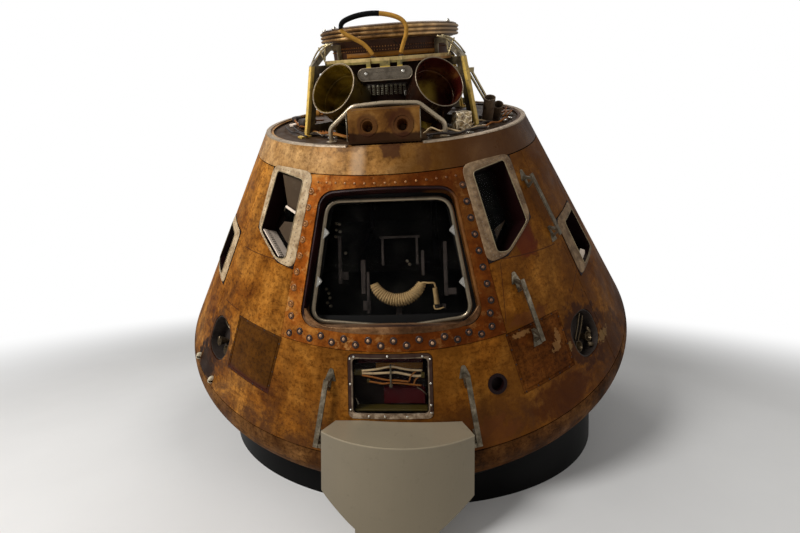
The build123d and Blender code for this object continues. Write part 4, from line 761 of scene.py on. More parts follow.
def border_paint(name):
    """Window borders: mottled tan with rusty specks, browner on the right half."""
    f = Finish(name, gloss=0.2)
    azimuth = polar(f)[0]
    stain = f.noise(14, 8, 0.68, bend=0.3)
    pale = f.ramp(
        stain, [(0.34, (0.2, 0.115, 0.05)), (0.5, (0.42, 0.3, 0.17)), (0.66, (0.6, 0.46, 0.29))]
    )
    brown = f.ramp(
        stain, [(0.34, (0.07, 0.034, 0.012)), (0.5, (0.18, 0.11, 0.055)), (0.66, (0.33, 0.22, 0.12))]
    )
    colour = f.mix(f.between(azimuth, -5.0, 22.0), pale, brown)
    specks = f.ramp(f.cells(52), [(0.0, 1.0), (0.16, 0.0)])
    colour = f.cover(colour, (0.1, 0.035, 0.01), specks, 0.6)
    f.set("Base Color", colour)
    f.roughen(stain, 0.42, 0.68)
    f.bump(stain, 0.0008, 0.5)
    return f.material


def bolt_metal(name, colour, left):
    """Bolts and washers of the surround: scorched, with the surround's own orange up its left side, and
    darker on the right, partly scorch and partly painted shade.
    """
    f = Finish(name, 0.4)
    azimuth, z = polar(f)[:2]
    wear = f.noise(60, 5, 0.65)
    shade = f.ramp(wear, [(0.36, 0.35), (0.6, 1.15)])
    here = f.times(f.between(azimuth, -16.0, -19.0), f.between(z, 1.24, 1.32))
    here = f.maths("MAXIMUM", here, f.between(z, 1.84, 1.88, 0.0, 0.8))
    # Darker toward the right: partly scorch, partly painted shade.
    red = f.between(azimuth, 9.0, 13.0, 0.0, 0.8)
    tone = f.mix(red, f.mix(here, colour, left), (0.35 * colour[0], 0.2 * colour[1], 0.12 * colour[2]))
    f.set("Base Color", f.mix(0.8, tone, shade, "MULTIPLY"))
    f.roughen(wear, 0.32, 0.6)
    f.bump(wear, 0.0006, 0.4)
    return f.material


def worn_alloy(name, grime, middle, rubbed):
    """Alloy fitting: grime in patches, dull metal between them and bright rubbed spots."""
    f = Finish(name, 0.85)
    wear = f.noise(30, 7, 0.66)
    broad = f.noise(9, 5, 0.6)
    colour = f.ramp(wear, [(0.36, grime), (0.5, middle), (0.68, rubbed)])
    f.set("Base Color", f.shaded(colour, 0.7, broad, [(0.35, 0.55), (0.62, 1.15)]))
    f.roughen(wear, 0.55, 0.28)
    f.bump(wear, 0.0008, 0.5)
    return f.material


def shelf_paint(name):
    """Front shelf: olive-yellow with a pale top edge, burnt orange to the right."""
    f = Finish(name)
    x, _, z = f.split(f.upright())
    stain = f.noise(13, 7, 0.66)
    left = f.ramp(stain, [(0.36, (0.05, 0.036, 0.01)), (0.58, (0.32, 0.24, 0.055))])
    right = f.ramp(stain, [(0.36, (0.12, 0.045, 0.01)), (0.6, (0.42, 0.19, 0.045))])
    colour = f.mix(f.between(x, 0.1, 0.16), left, right)
    tabs = f.times(f.maths("LESS_THAN", z, 2.47), f.between(f.maths("ABSOLUTE", x), 0.24, 0.2))
    colour = f.cover(colour, (0.85, 0.58, 0.09), tabs, 0.92)
    edge = f.times(f.between(z, 2.4955, 2.4985), f.ramp(f.noise(30, 5), [(0.35, 0.4), (0.6, 1.0)]))
    f.set("Base Color", f.mix(edge, colour, (0.62, 0.44, 0.17)))
    f.roughen(stain, 0.35, 0.6)
    f.bump(stain, 0.0008, 0.4)
    return f.material


def can_paint(name):
    """Canister: dark olive lacquer that turns dark red on the right one, glossy with dull streaks, with
    a painted highlight low inside the right one and near black outside the wall.
    """
    f = Finish(name, gloss=0.3, tint=(1, 0.75, 0.45))
    x, y, z = f.split(f.upright())
    stain = f.noise(5, 6, 0.62, vector=f.scaled(f.object, (1, 1, 2.6)))
    olive = f.ramp(
        stain, [(0.36, (0.048, 0.027, 0.002)), (0.52, (0.135, 0.078, 0.006)), (0.68, (0.3, 0.19, 0.02))]
    )
    red = f.ramp(
        stain,
        [(0.38, (0.016, 0.001, 0.001)), (0.54, (0.038, 0.004, 0.003)), (0.7, (0.1, 0.035, 0.008))]
    )
    gap = [f.minus(value, at) for value, at in zip((f.maths("ABSOLUTE", x), y, z), CAN_MOUTH)]
    deep, square = f.times(gap[0], CAN_AXIS[0]), f.times(gap[0], gap[0])
    for side, toward in zip(gap[1:], CAN_AXIS[1:]):
        deep = f.maths("MULTIPLY_ADD", side, toward, deep)
        square = f.maths("MULTIPLY_ADD", side, side, square)
    from_axis = f.minus(square, f.times(deep, deep))
    inside = f.maths("LESS_THAN", from_axis, CAN_INSIDE)
    # Pale patch low inside the right canister: a painted highlight.
    glow = f.times(f.between(x, 0.335, 0.27), f.between(z, 2.385, 2.335))
    glow = f.times(f.times(glow, inside), f.ramp(f.noise(9, 6, 0.7), [(0.36, 0.25), (0.6, 1.0)]))
    red = f.cover(red, (0.34, 0.22, 0.03), glow, 0.9)
    colour = f.mix(f.between(x, -0.05, 0.05), olive, red)
    # Near black outside the canister wall.
    outside_wall = f.between(from_axis, *CAN_WALL, 0.0, 0.75)
    f.set("Base Color", f.mix(outside_wall, colour, (0.01, 0.006, 0.003)))
    f.set("Roughness", f.ramp(f.noise(9, 6, 0.6), [(0.35, 0.16), (0.65, 0.45)]))
    f.bump(f.noise(40, 4), 0.0004, 0.3)
    return f.material


def rubbery(name, colour, rough, scale):
    """Rubber, cord covering or black lacquer with a faint grain."""
    f = Finish(name, gloss=0.04, rough=rough)
    f.set("Base Color", f.shaded(colour, 0.6, f.noise(scale, 5), [(0.3, 0.6), (0.7, 1.3)]))
    f.bump(f.noise(scale * 5, 3), 0.0006, 0.6)
    return f.material


def copper_block(name):
    """Heat-stained copper: golden above, dark red-brown below and round the nozzles."""
    f = Finish(name, 0.1, 0.25, (1, 0.7, 0.4))
    x, _, z = f.split(f.upright())
    stain = f.noise(7, 8, 0.66, bend=0.4)
    colour = f.ramp(
        stain,
        [(0.34, (0.055, 0.018, 0.004)), (0.5, (0.135, 0.053, 0.009)), (0.66, (0.26, 0.125, 0.03))]
    )
    low = f.between(f.plus(z, f.times(f.minus(stain, 0.5), 0.05)), 2.165, 2.15)
    colour = f.cover(colour, (0.014, 0.003, 0.001), low, 0.95)
    for at, reach, amount in THRUSTER_JETS:
        far = f.hypot(f.minus(x, at), f.minus(z, JET_Z))
        halo = f.between(f.maths("MULTIPLY_ADD", f.minus(stain, 0.5), 0.03, far), reach, 0.75 * reach)
        colour = f.cover(colour, (0.04, 0.01, 0.004), halo, amount)
    f.set("Base Color", colour)
    f.roughen(stain, 0.32, 0.55)
    f.bump(stain, 0.002, 0.4)
    f.bump(f.noise(60, 4), 0.0006, 0.4)
    return f.material


def brushed(name, colour, rough, metal):
    """Stainless sheet brushed upright, with soft cloudy reflections painted into its colour and a lid
    painted lighter as painted light.
    """
    f = Finish(name, metal, 0.3)
    grain = f.noise(3, 5, 0.7, vector=f.scaled(f.object, (160, 160, 2.0)))
    # Cloudy tone: painted reflection.
    cloud = f.noise(2.2, 4)
    # Top face painted lighter than the front: painted light.
    lid = f.between(f.split(f.object)[2], 0.526, 0.534)
    shade = f.shaded(
        f.mix(lid, colour, tuple(min(1.0, 1.7 * c) for c in colour)), 0.35, cloud,
        [(0.3, 0.8), (0.7, 1.12)]
    )
    scuff = f.ramp(f.noise(24, 8, 0.75), [(0.58, 0.0), (0.7, 0.35)])
    f.set("Base Color", f.mix(scuff, shade, tuple(0.6 * c for c in colour)))
    f.roughen(grain, rough * 0.8, rough * 1.25)
    f.bump(grain, 0.0004, 0.25)
    return f.material


def make_finishes(look):
    """Every finish by the plain name of what wears it."""
    amber = tuple(look.amber)
    dark = (0.4 * amber[0], 0.3 * amber[1], 0.25 * amber[2])
    light = (min(1.0, 1.45 * amber[0]), 1.7 * amber[1], 2.4 * amber[2])
    copper = tuple(look.copper)
    yellow = tuple(look.yellow)
    return {
        "skin": varnished("charred skin", dark, amber, light, marks=skin_marks_and_shade),
        "crown": varnished(
            "satin crown skin", (0.17, 0.075, 0.014), (0.34, 0.17, 0.05), (0.46, 0.27, 0.11), 0.3, 0.8,
            crown_marks_and_light, 0.2
        ),
        "panel_left": varnished(
            "dull access panel", (0.045, 0.016, 0.002), tuple(0.25 * c for c in amber),
            tuple(0.38 * c for c in amber), 0.5, 0.8, left_panel_marks
        ),
        "panel_right": varnished(
            "peeled access panel", (0.028, 0.007, 0.0015), (0.07, 0.019, 0.003), (0.13, 0.044, 0.008),
            0.5, 1.0, right_panel_marks
        ),
        "shield": varnished(
            "charred heat shield", (0.03, 0.012, 0.005), (0.085, 0.034, 0.01), (0.17, 0.08, 0.026), 0.6
        ),
        "surround": varnished(
            "copper-brown surround", tuple(0.5 * c for c in copper), copper, (0.46, 0.19, 0.036), 0.38,
            0.8, surround_marks_and_shade
        ),
        "reveal": painted("maroon reveal", (0.009, 0.002, 0.002), (0.005, 0.002, 0.002), 0.4, 8),
        "hatch_reveal": hatch_reveal_paint("hatch reveal"),
        "sill": varnished(
            "worn sill", (0.045, 0.02, 0.01), (0.125, 0.058, 0.027), (0.3, 0.17, 0.085), 0.34, 0.8,
            None, 0.3
        ),
        "rail": metallic("rail alloy", (0.5, 0.4, 0.27), 0.28, 0.4, 30, 0.6, (0.2, 0.13, 0.07)),
        "border": border_paint("window border"),
        "seal": metallic("hatch seal frame", (0.27, 0.215, 0.145), 0.3, 0.6, 14, 0.85),
        "pane": glazing("hatch pane", 0.06),
        "shelf": shelf_paint("olive shelf"),
        "can_body": metallic("can alloy", (0.17, 0.115, 0.07), 0.4, 0.8, 24, 0.5, (0.02, 0.01, 0.006)),
        "bay_edge": bay_border_paint("bay border"),
        "silver": worn_alloy(
            "handrail alloy", (0.095, 0.074, 0.048), (0.165, 0.134, 0.09), (0.3, 0.25, 0.18)
        ),
        "nozzle": metallic(
            "nozzle alloy", (0.16, 0.115, 0.065), 0.32, 0.8, 40, 0.8, (0.03, 0.015, 0.008)
        ),
        "bright": metallic("bright fitting", (0.78, 0.74, 0.66), 0.25, 0.3, 40),
        "soot": metallic(
            "sooty metal", (0.055, 0.04, 0.032), 0.55, 0.8, 18, 0.5, (0.012, 0.009, 0.008)
        ),
        "lining": rubbery("bay lining", (0.012, 0.006, 0.005), 0.7, 12),
        # Near-black cabin paint stands for the unlit inside of the cabin: painted shade.
        "cabin": painted("cabin paint with painted shade", (0.008, 0.0075, 0.007), (0.005, 0.005, 0.005), 0.6, 6),
        "couch": painted("couch cloth", (0.014, 0.012, 0.01), (0.02, 0.016, 0.012), 0.85, 40),
        "ivory": rubbery("ivory hose", (0.38, 0.25, 0.11), 0.6, 24),
        "deck": painted("deck plate", (0.05, 0.025, 0.01), (0.016, 0.009, 0.005), 0.55, 9, 0.9),
        "rim": metallic("deck rim", (0.46, 0.35, 0.24), 0.42, 0.7, 22, 0.6),
        "ring": ring_copper("copper ring"),
        "tunnel": painted("tunnel wall", (0.06, 0.026, 0.014), (0.012, 0.008, 0.006), 0.5, 10, 0.9),
        "block": copper_block("thruster copper"),
        "yellow": gusset_paint("yellow alloy", yellow),
        "can": can_paint("olive canister"),
        "can_lip": metallic("canister lip", (0.3, 0.235, 0.16), 0.4, 0.7, 30, 0.6),
        "pull": metallic(
            "pull plate steel", (0.17, 0.14, 0.105), 0.26, 0.7, 22, 0.85, (0.03, 0.02, 0.012)
        ),
        "foil": foil_wrap("crinkled foil"),
        "loop": rubbery("loop cable", (0.4, 0.2, 0.035), 0.5, 60),
        "sleeve": rubbery("black sleeve", (0.004, 0.004, 0.004), 0.6, 60),
        "black": rubbery("plinth lacquer", (0.0035, 0.0033, 0.0032), 0.4, 6),
        "rubber": rubbery("seat rubber", (0.02, 0.02, 0.02), 0.8, 40),
        "steel": brushed("brushed housing", (0.215, 0.178, 0.12), 0.42, 0.4),
        "wire": rubbery("copper wiring", (0.24, 0.085, 0.02), 0.42, 60),
        "pale_wire": rubbery("pale wiring", (0.5, 0.36, 0.2), 0.5, 60),
        "red": painted("dark red box", (0.045, 0.0006, 0.002), (0.04, 0.004, 0.006), 0.4, 9, 0.6),
        "olive": painted("olive plate", (0.055, 0.038, 0.006), (0.05, 0.03, 0.01), 0.45, 9, 0.6),
        "grey": painted("grey inner panel", (0.2, 0.175, 0.14), (0.09, 0.07, 0.05), 0.6, 10, 0.5),
        "pale": painted("pale plate", (0.8, 0.66, 0.53), (0.4, 0.29, 0.2), 0.5, 18, 0.6),
        "bolt": bolt_metal("copper bolt", (0.46, 0.27, 0.15), (0.36, 0.15, 0.035)),
        "washer": bolt_metal("scorched washer", (0.03, 0.011, 0.007), (0.24, 0.09, 0.018)),
        "bead": metallic("window bead", (0.3, 0.23, 0.13), 0.4, 0.7, 40, 0.6),
        "peg": rubbery("ivory peg", (0.55, 0.47, 0.33), 0.45, 50),
        "umber": painted("umber plate", (0.072, 0.046, 0.026), (0.1, 0.07, 0.045), 0.6, 14, 0.5),
        "spring": metallic("spring wire", (0.44, 0.39, 0.28), 0.4, 0.6, 60, 0.7),
        "band": painted("orange band", (0.3, 0.13, 0.022), (0.1, 0.03, 0.01), 0.4, 18, 0.6),
        "brace": metallic("brace alloy", (0.48, 0.38, 0.2), 0.35, 0.6, 40, 0.7),
        "rivet": metallic("window rivet", (0.24, 0.17, 0.11), 0.45, 0.6, 60, 0.5),
    }


NODE_FINISH = {
    "skin": "skin_front skin_left skin_right skin_rear",
    "crown": "skin_crown",
    "panel_left": "access_panel_left",
    "panel_right": "access_panel_right",
    "shield": "aft_heat_shield",
    "surround": "hatch_surround",
    "hatch_reveal": "hatch_reveal",
    "reveal": "fore_window_frames side_window_frames fore_window_reveals side_window_reveals vent",
    "can_body": "small_canisters",
    "soot": "thruster_wells plug_row loop_stubs",
    "brace": "side_struts",
    "pane": "hatch_pane fore_window_panes side_window_panes bay_cover",
    "bay_edge": "bay_frame",
    "silver": "upper_handrails lower_handrails",
    "rail": "deck_rail",
    "nozzle": "thruster_nozzles",
    "lining": "bay_tray",
    "wire": "bay_harness",
    "tunnel": "tunnel",
    "cabin": "hatch_seal_frame cabin_wall cabin_floor cabin_seat instrument_panel tunnel_lid",
    "couch": "couches",
    "ivory": "hatch_hose release_pegs",
    "deck": "forward_deck",
    "rim": "deck_rim",
    "ring": "docking_ring",
    "block": "thruster_block",
    "yellow": "gussets",
    "shelf": "front_shelf",
    "can": "canisters",
    "pull": "pull_plate",
    "foil": "wrapped_block",
    "loop": "recovery_loop",
    "black": "plinth_drum plinth_base tie_plate",
    "rubber": "plinth_pad",
    "steel": "front_housing",
}
FINISHES = {}


class CapsuleLook(bpy.types.PropertyGroup):
    """Sizes and colours of the capsule's finishes and fittings."""

    amber: FloatVectorProperty(
        name="Amber", description="Main colour of the varnished skin", subtype="COLOR",
        default=(0.27, 0.1, 0.0125), min=0, max=1
    )
    copper: FloatVectorProperty(
        name="Copper", description="Colour of the hatch surround", subtype="COLOR",
        default=(0.31, 0.08, 0.009), min=0, max=1
    )
    yellow: FloatVectorProperty(
        name="Yellow", description="Colour of the gussets", subtype="COLOR", default=(0.7, 0.46, 0.095),
        min=0, max=1
    )
    bolt_r: FloatProperty(
        name="Bolt", description="Radius of a surround bolt's head", unit="LENGTH", default=0.0125
    )
    rivet_r: FloatProperty(
        name="Rivet", description="Radius of a window rivet", unit="LENGTH", default=0.004
    )
    border_round: FloatProperty(
        name="Border corner", description="Corner radius of the window borders", unit="LENGTH",
        default=0.06
    )
    low_bolts: IntProperty(
        name="Low bolts", description="Bolts along the surround's bottom edge", default=18
    )
    loop_r: FloatProperty(
        name="Loop", description="Radius of the recovery loop", unit="LENGTH", default=0.012
    )
    top_bolts: IntProperty(
        name="Top bolts", description="Bolts along the surround's top edge", default=15
    )


class CAPSULE_OT_finishes(bpy.types.Operator):
    """Give every solid its finish"""

    bl_idname = "capsule.finishes"
    bl_label = "Finishes"

    def execute(self, context):
        FINISHES.update(make_finishes(context.scene.capsule_look))
        for finish, names in NODE_FINISH.items():
            for name in names.split():
                data = NODES[name].data
                data.materials.clear()
                data.materials.append(FINISHES[finish])
        return {"FINISHED"}


SKY_LEVEL = 0.24
LAMP_AIM = (0.0, -0.3, 1.5)
# Lamps: name, place, width in metres, watts
LAMPS = (
    ("key", (-4.4, -4.6, 5.6), 2.6, 430),
    ("fill", (4.6, -4.0, 3.4), 3.6, 45),
    ("top", (-0.4, 1.2, 6.6), 3.6, 90),
)
FLOOR_CLEAR = 3.4
FLOOR_GONE = 7.5
FLOOR_CORNERS = ((-40, -20, 0), (40, -20, 0), (40, 60, 0), (-40, 60, 0))
CAMERA_AT = (-0.117, -3.575, 1.42)
CAMERA_PITCH = math.radians(88.586)
CAMERA_LENS = 15.556
CAMERA_SENSOR = 36
CAMERA_REACH = 100


def pale_floor():
    """Pale matt floor that keeps its shadow and goes over to the white backdrop further out."""
    f = Finish("pale floor", rough=0.65)
    grain = f.noise(1.3, 6, 0.6)
    f.set("Base Color", f.shaded((0.8, 0.79, 0.77), 0.5, grain, [(0.3, 0.95), (0.7, 1.03)]))
    f.bump(f.noise(40, 5), 0.0008, 0.3)
    x, y, _ = f.split(f.object)
    far = f.hypot(x, y)
    seen = f.node("ShaderNodeLightPath").outputs["Is Camera Ray"]
    glow = f.node("ShaderNodeEmission")
    blend = f.node("ShaderNodeMixShader")
    f.feed(blend.inputs[0], f.times(f.between(far, FLOOR_CLEAR, FLOOR_GONE), seen))
    f.feed(blend.inputs[1], f.shader.outputs[0])
    f.feed(blend.inputs[2], glow.outputs[0])
    f.feed(f.tree.nodes["Material Output"].inputs["Surface"], blend.outputs[0])
    return f.material


class CAPSULE_OT_stage(bpy.types.Operator):
    """Set the floor, the backdrop, the lights and the camera"""

    bl_idname = "capsule.stage"
    bl_label = "Stage"

    def execute(self, context):
        scene = context.scene
        scene.view_settings.view_transform = "Standard"
        floor = bpy.data.meshes.new("floor")
        floor.from_pydata(FLOOR_CORNERS, [], [(0, 1, 2, 3)])
        ground = bpy.data.objects.new("floor", floor)
        scene.collection.objects.link(ground)
        floor.materials.append(pale_floor())
        world = bpy.data.worlds.new("studio")
        scene.world = world
        world.use_nodes = True
        tree = world.node_tree
        sky = tree.nodes["Background"]
        sky.inputs[0].default_value = (1, 1, 1, 1)
        path = tree.nodes.new("ShaderNodeLightPath")
        level = tree.nodes.new("ShaderNodeMapRange")
        tree.links.new(path.outputs["Is Camera Ray"], level.inputs[0])
        level.inputs["To Min"].default_value = SKY_LEVEL
        level.inputs["To Max"].default_value = 1.0
        tree.links.new(level.outputs[0], sky.inputs[1])
        for name, at, size, power in LAMPS:
            light = bpy.data.lights.new(name, "AREA")
            light.shape = "DISK"
            light.size = size
            light.energy = power
            lamp = bpy.data.objects.new(name, light)
            lamp.location = at
            lamp.rotation_euler = (Vector(LAMP_AIM) - Vector(at)).to_track_quat("-Z", "Y").to_euler()
            scene.collection.objects.link(lamp)
        eye = bpy.data.cameras.new("camera")
        eye.lens = CAMERA_LENS
        eye.sensor_width = CAMERA_SENSOR
        eye.clip_end = CAMERA_REACH
        camera = bpy.data.objects.new("camera", eye)
        camera.location = CAMERA_AT
        camera.rotation_euler = (CAMERA_PITCH, 0, 0)
        scene.collection.objects.link(camera)
        scene.camera = camera
        return {"FINISHED"}


LOOP_Y = -0.508
LOOP_LENGTH = 0.81
LOOP_MAY_DIFFER = 0.05
LOOP_POINTS = [
    (-0.072, 2.532), (-0.106, 2.58), (-0.163, 2.613), (-0.222, 2.641), (-0.249, 2.668),
    (-0.243, 2.698), (-0.206, 2.716), (-0.13, 2.732), (-0.04, 2.735), (0.045, 2.722),
    (0.112, 2.698), (0.14, 2.662), (0.134, 2.618), (0.113, 2.576), (0.099, 2.532),
]


class CAPSULE_OT_loop(bpy.types.Operator):
    """Recovery loop: a stiff cable as one spline, with a black sleeve over its top"""

    bl_idname = "capsule.loop"
    bl_label = "Recovery loop"

    def execute(self, context):
        look = context.scene.capsule_look
        route = stood([(x, LOOP_Y, z) for x, z in LOOP_POINTS])
        curve = bpy.data.curves.new("recovery_cable", "CURVE")
        curve.dimensions = "3D"
        spline = curve.splines.new("NURBS")
        spline.points.add(len(route) - 1)
        spline.points.foreach_set("co", np.c_[route, np.ones(len(route))].ravel())
        spline.order_u = 3
        spline.use_endpoint_u = True
        spline.resolution_u = 12
        bare = bpy.data.objects.new("recovery_cable", curve)
        context.scene.collection.objects.link(bare)
        line = bpy.data.meshes.new_from_object(bare)
        path = np.empty(len(line.vertices) * 3)
        line.vertices.foreach_get("co", path)
        path = path.reshape(-1, 3)
        curve.bevel_depth = look.loop_r
        curve.bevel_resolution = 5
        curve.use_fill_caps = True
        curve.materials.append(FINISHES["loop"])
        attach(bare, HULL)
        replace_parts(bare, "recovery_loop")
        share = np.linspace(0, 1, len(path))
        cover = path[(share > 0.27) & (share < 0.6)]
        sleeve = piece(
            "cable_sleeve", [tube(cover, look.loop_r + 0.0015, 16)], "sleeve"
        )
        length = float(np.linalg.norm(np.diff(path, axis=0), axis=1).sum())
        if abs(length - LOOP_LENGTH) > LOOP_MAY_DIFFER:
            raise RuntimeError(f"the loop is {length:.3f} m long")
        return {"FINISHED"}


# Bolts of the hatch surround: azimuths of both columns, and height of the top bolt, pitch and count
COLUMNS = (-22.9, 22.5)
COLUMN_TOP = 1.877
COLUMN_PITCH = 0.0797
COLUMN_BOLTS = 8
CORNER_BOLTS = [(-22.25, 1.262), (21.6, 1.262)]
# Low and top rows: azimuths of their ends, height, and rise of every other low bolt
LOW_ROW = (-22.0, 21.3)
LOW_ROW_Z = 1.178
LOW_STAGGER = 0.022
TOP_ROW = (-21.0, 21.0)
TOP_ROW_Z = 1.926
# Section of a washer: share of the bolt's radius, and height
WASHER = ((0.7, 0.003), (1.2, 0.0036), (1.62, 0.0026), (1.72, -0.001), (0.7, -0.001), (0.7, 0.003))


class CAPSULE_OT_bolts(bpy.types.Operator):
    """Domed bolts in scorched washers round the hatch surround, with small ones along its top"""

    bl_idname = "capsule.bolts"
    bl_label = "Surround bolts"

    def execute(self, context):
        look = context.scene.capsule_look
        r = look.bolt_r
        column = COLUMN_TOP - COLUMN_PITCH * np.arange(COLUMN_BOLTS)
        stagger = LOW_STAGGER * (np.arange(look.low_bolts) % 2)
        places = np.concatenate([
            *(np.c_[azimuth + 0 * column, column] for azimuth in COLUMNS),
            CORNER_BOLTS,
            np.c_[np.linspace(*LOW_ROW, look.low_bolts), LOW_ROW_Z + stagger],
        ])
        origins, axes = skin_frames(places[:, 0], places[:, 1], 0.002)
        washer = np.array(WASHER) * (r, 1)
        piece(
            "surround_bolts", [turned(head(0.8 * r, 0.0085), origins, axes, 12)], "bolt",
        )
        piece("surround_washers", [turned(washer, origins, axes, 16)], "washer")
        origins, axes = skin_frames(np.linspace(*TOP_ROW, look.top_bolts), TOP_ROW_Z, 0.002)
        piece(
            "top_screws", [turned(head(0.55 * r, 0.004), origins, axes, 10)], "bolt",
        )
        return {"FINISHED"}


# Window borders in the plane that touches the skin at their middle: place, outer and inner corners
FORE_BORDER = (FORE_WINDOW_AT,
    [(-0.197, 0.297), (0.168, 0.297), (0.172, -0.115), (-0.096, -0.274), (-0.24, -0.277)],
    [(-0.142, 0.242), (0.107, 0.265), (0.127, -0.125), (-0.089, -0.254), (-0.161, -0.237)])
SIDE_BORDER = (SIDE_WINDOW_AT,
    [(-0.196, 0.214), (0.185, 0.214), (0.217, -0.197), (-0.23, -0.197)],
    [(-0.099, 0.154), (0.171, 0.154), (0.193, -0.174), (-0.112, -0.174)])
# Section of a border: share of the way from inner to outer edge, and height
BORDER_RISE = (
    (0, 0.0025), (0, 0.0048), (0.06, 0.0056), (0.2, 0.0056), (0.35, 0.0056), (0.5, 0.0056),
    (0.65, 0.0056), (0.8, 0.0056), (0.94, 0.0054), (1, 0.0042), (1, 0.0025), (0, 0.0025),
)


class CAPSULE_OT_borders(bpy.types.Operator):
    """Riveted doubler round each window: a thin sheet on the skin with round corners"""

    bl_idname = "capsule.borders"
    bl_label = "Window borders"

    def execute(self, context):
        look = context.scene.capsule_look
        sheets, beads, origins, axes = [], [], [], []
        for (azimuth, height), outer, inner in (FORE_BORDER, SIDE_BORDER):
            out, hole = divided(rounded(outer, look.border_round), rounded(inner, 0.026))
            middle = along(0.5 * (rounded(outer, 0.05) + rounded(inner, 0.03)), 0.025)
            for side in (1, -1):
                mirror = np.array([side, 1])

                def lifted(points, lift):
                    return skin_spots(side * azimuth, height, points * mirror, lift)

                sheets.append(
                    band(out, hole, BORDER_RISE, lambda points, lift: lifted(points, lift)[0])
                )
                rim = lifted(hole, 0.0056)[0]
                beads.append(tube(np.concatenate([rim, rim[:1]]), 0.0032, 6, capped=False))
                spots = lifted(middle, 0.005)
                origins.append(spots[0])
                axes.append(spots[1])
        piece("window_doublers", sheets, "border")
        piece("window_beads", beads, "bead")
        rivets = turned(head(look.rivet_r, 0.0022), np.concatenate(origins), np.concatenate(axes), 8)
        piece("window_rivets", [rivets], "rivet")
        return {"FINISHED"}


# Hatch: local x to the right and y up the slope, from the middle of the opening
SEAL_LINE = [(-0.352, 0.388), (0.356, 0.383), (0.468, -0.295), (0.06, -0.352), (-0.458, -0.305)]
SEAL_DEPTH = -0.098
SEAL_ROUND = 0.085
SEAL_BEAD = (0.0125, 0.009)
HOSE_AT = (0.04, -0.048)
HOSE_ARC_R = 0.157
HOSE_ARC = 138
HOSE_DEPTH = -0.213
HOSE_R = 0.026
HOSE_SWELL = 0.016
HOSE_RIBS = 25
RIB_DEPTH = 0.085
# Coil: half its length, radians to a metre, place
COIL_HALF = 0.05
COIL_WIND = 900
COIL_AT = (0.268, -0.185, -0.212)
KNOB_DEPTH = -0.225
# Sill: share of the way from its straight upper edge to its curved lower one, and height
SILL_RISE = (
    (0, -0.012), (0, 0.0005), (0.25, 0.0032), (0.6, 0.0042), (0.9, 0.0034), (1, 0.0008), (1, -0.004),
    (0, -0.012)
)
LATCH = ((-0.006, -0.034), (0.023, 0.004), (0.019, 0.013), (-0.006, 0.034))
LATCHES = ((-0.368, 0.199, 1), (-0.415, -0.083, 1), (0.374, 0.191, -1), (0.421, -0.105, -1))
# Brackets in the cabin: x, y, width, height, depth behind the skin
CABIN_BRACKETS = (
    (-0.185, -0.06, 0.03, 0.22, 0.3), (-0.15, -0.16, 0.018, 0.26, 0.27), (-0.32, 0.05, 0.02, 0.3, 0.24),
    (0.195, 0.02, 0.02, 0.16, 0.3), (0.335, -0.02, 0.024, 0.34, 0.28), (0.37, -0.16, 0.05, 0.04, 0.24),
    (-0.3, -0.05, 0.05, 0.05, 0.26), (0.3, -0.25, 0.06, 0.03, 0.24), (-0.16, -0.24, 0.05, 0.06, 0.27),
    (0.05, 0.19, 0.26, 0.016, 0.32), (-0.06, 0.1, 0.016, 0.18, 0.32), (0.16, 0.1, 0.016, 0.18, 0.32),
)
CABIN_KNOBS = (
    (-0.335, 0.275), (-0.315, 0.27), (-0.335, 0.235), (-0.312, 0.225), (-0.34, 0.195), (-0.405, -0.13),
    (-0.392, -0.155), (-0.385, -0.185), (-0.4, -0.215), (-0.38, -0.235), (-0.28, 0.09), (0.1, 0.03),
    (0.115, 0.01),
)


HOSE_ABOVE = (
    (0.165, -0.125, -0.212), (0.19, -0.104, -0.2), (0.225, -0.106, -0.2), (0.258, -0.108, -0.205),
    (0.266, -0.13, -0.21),
)
HOSE_BELOW = (
    (0.255, -0.24, -0.21), (0.262, -0.262, -0.2), (0.29, -0.262, -0.2), (0.315, -0.255, -0.21),
)


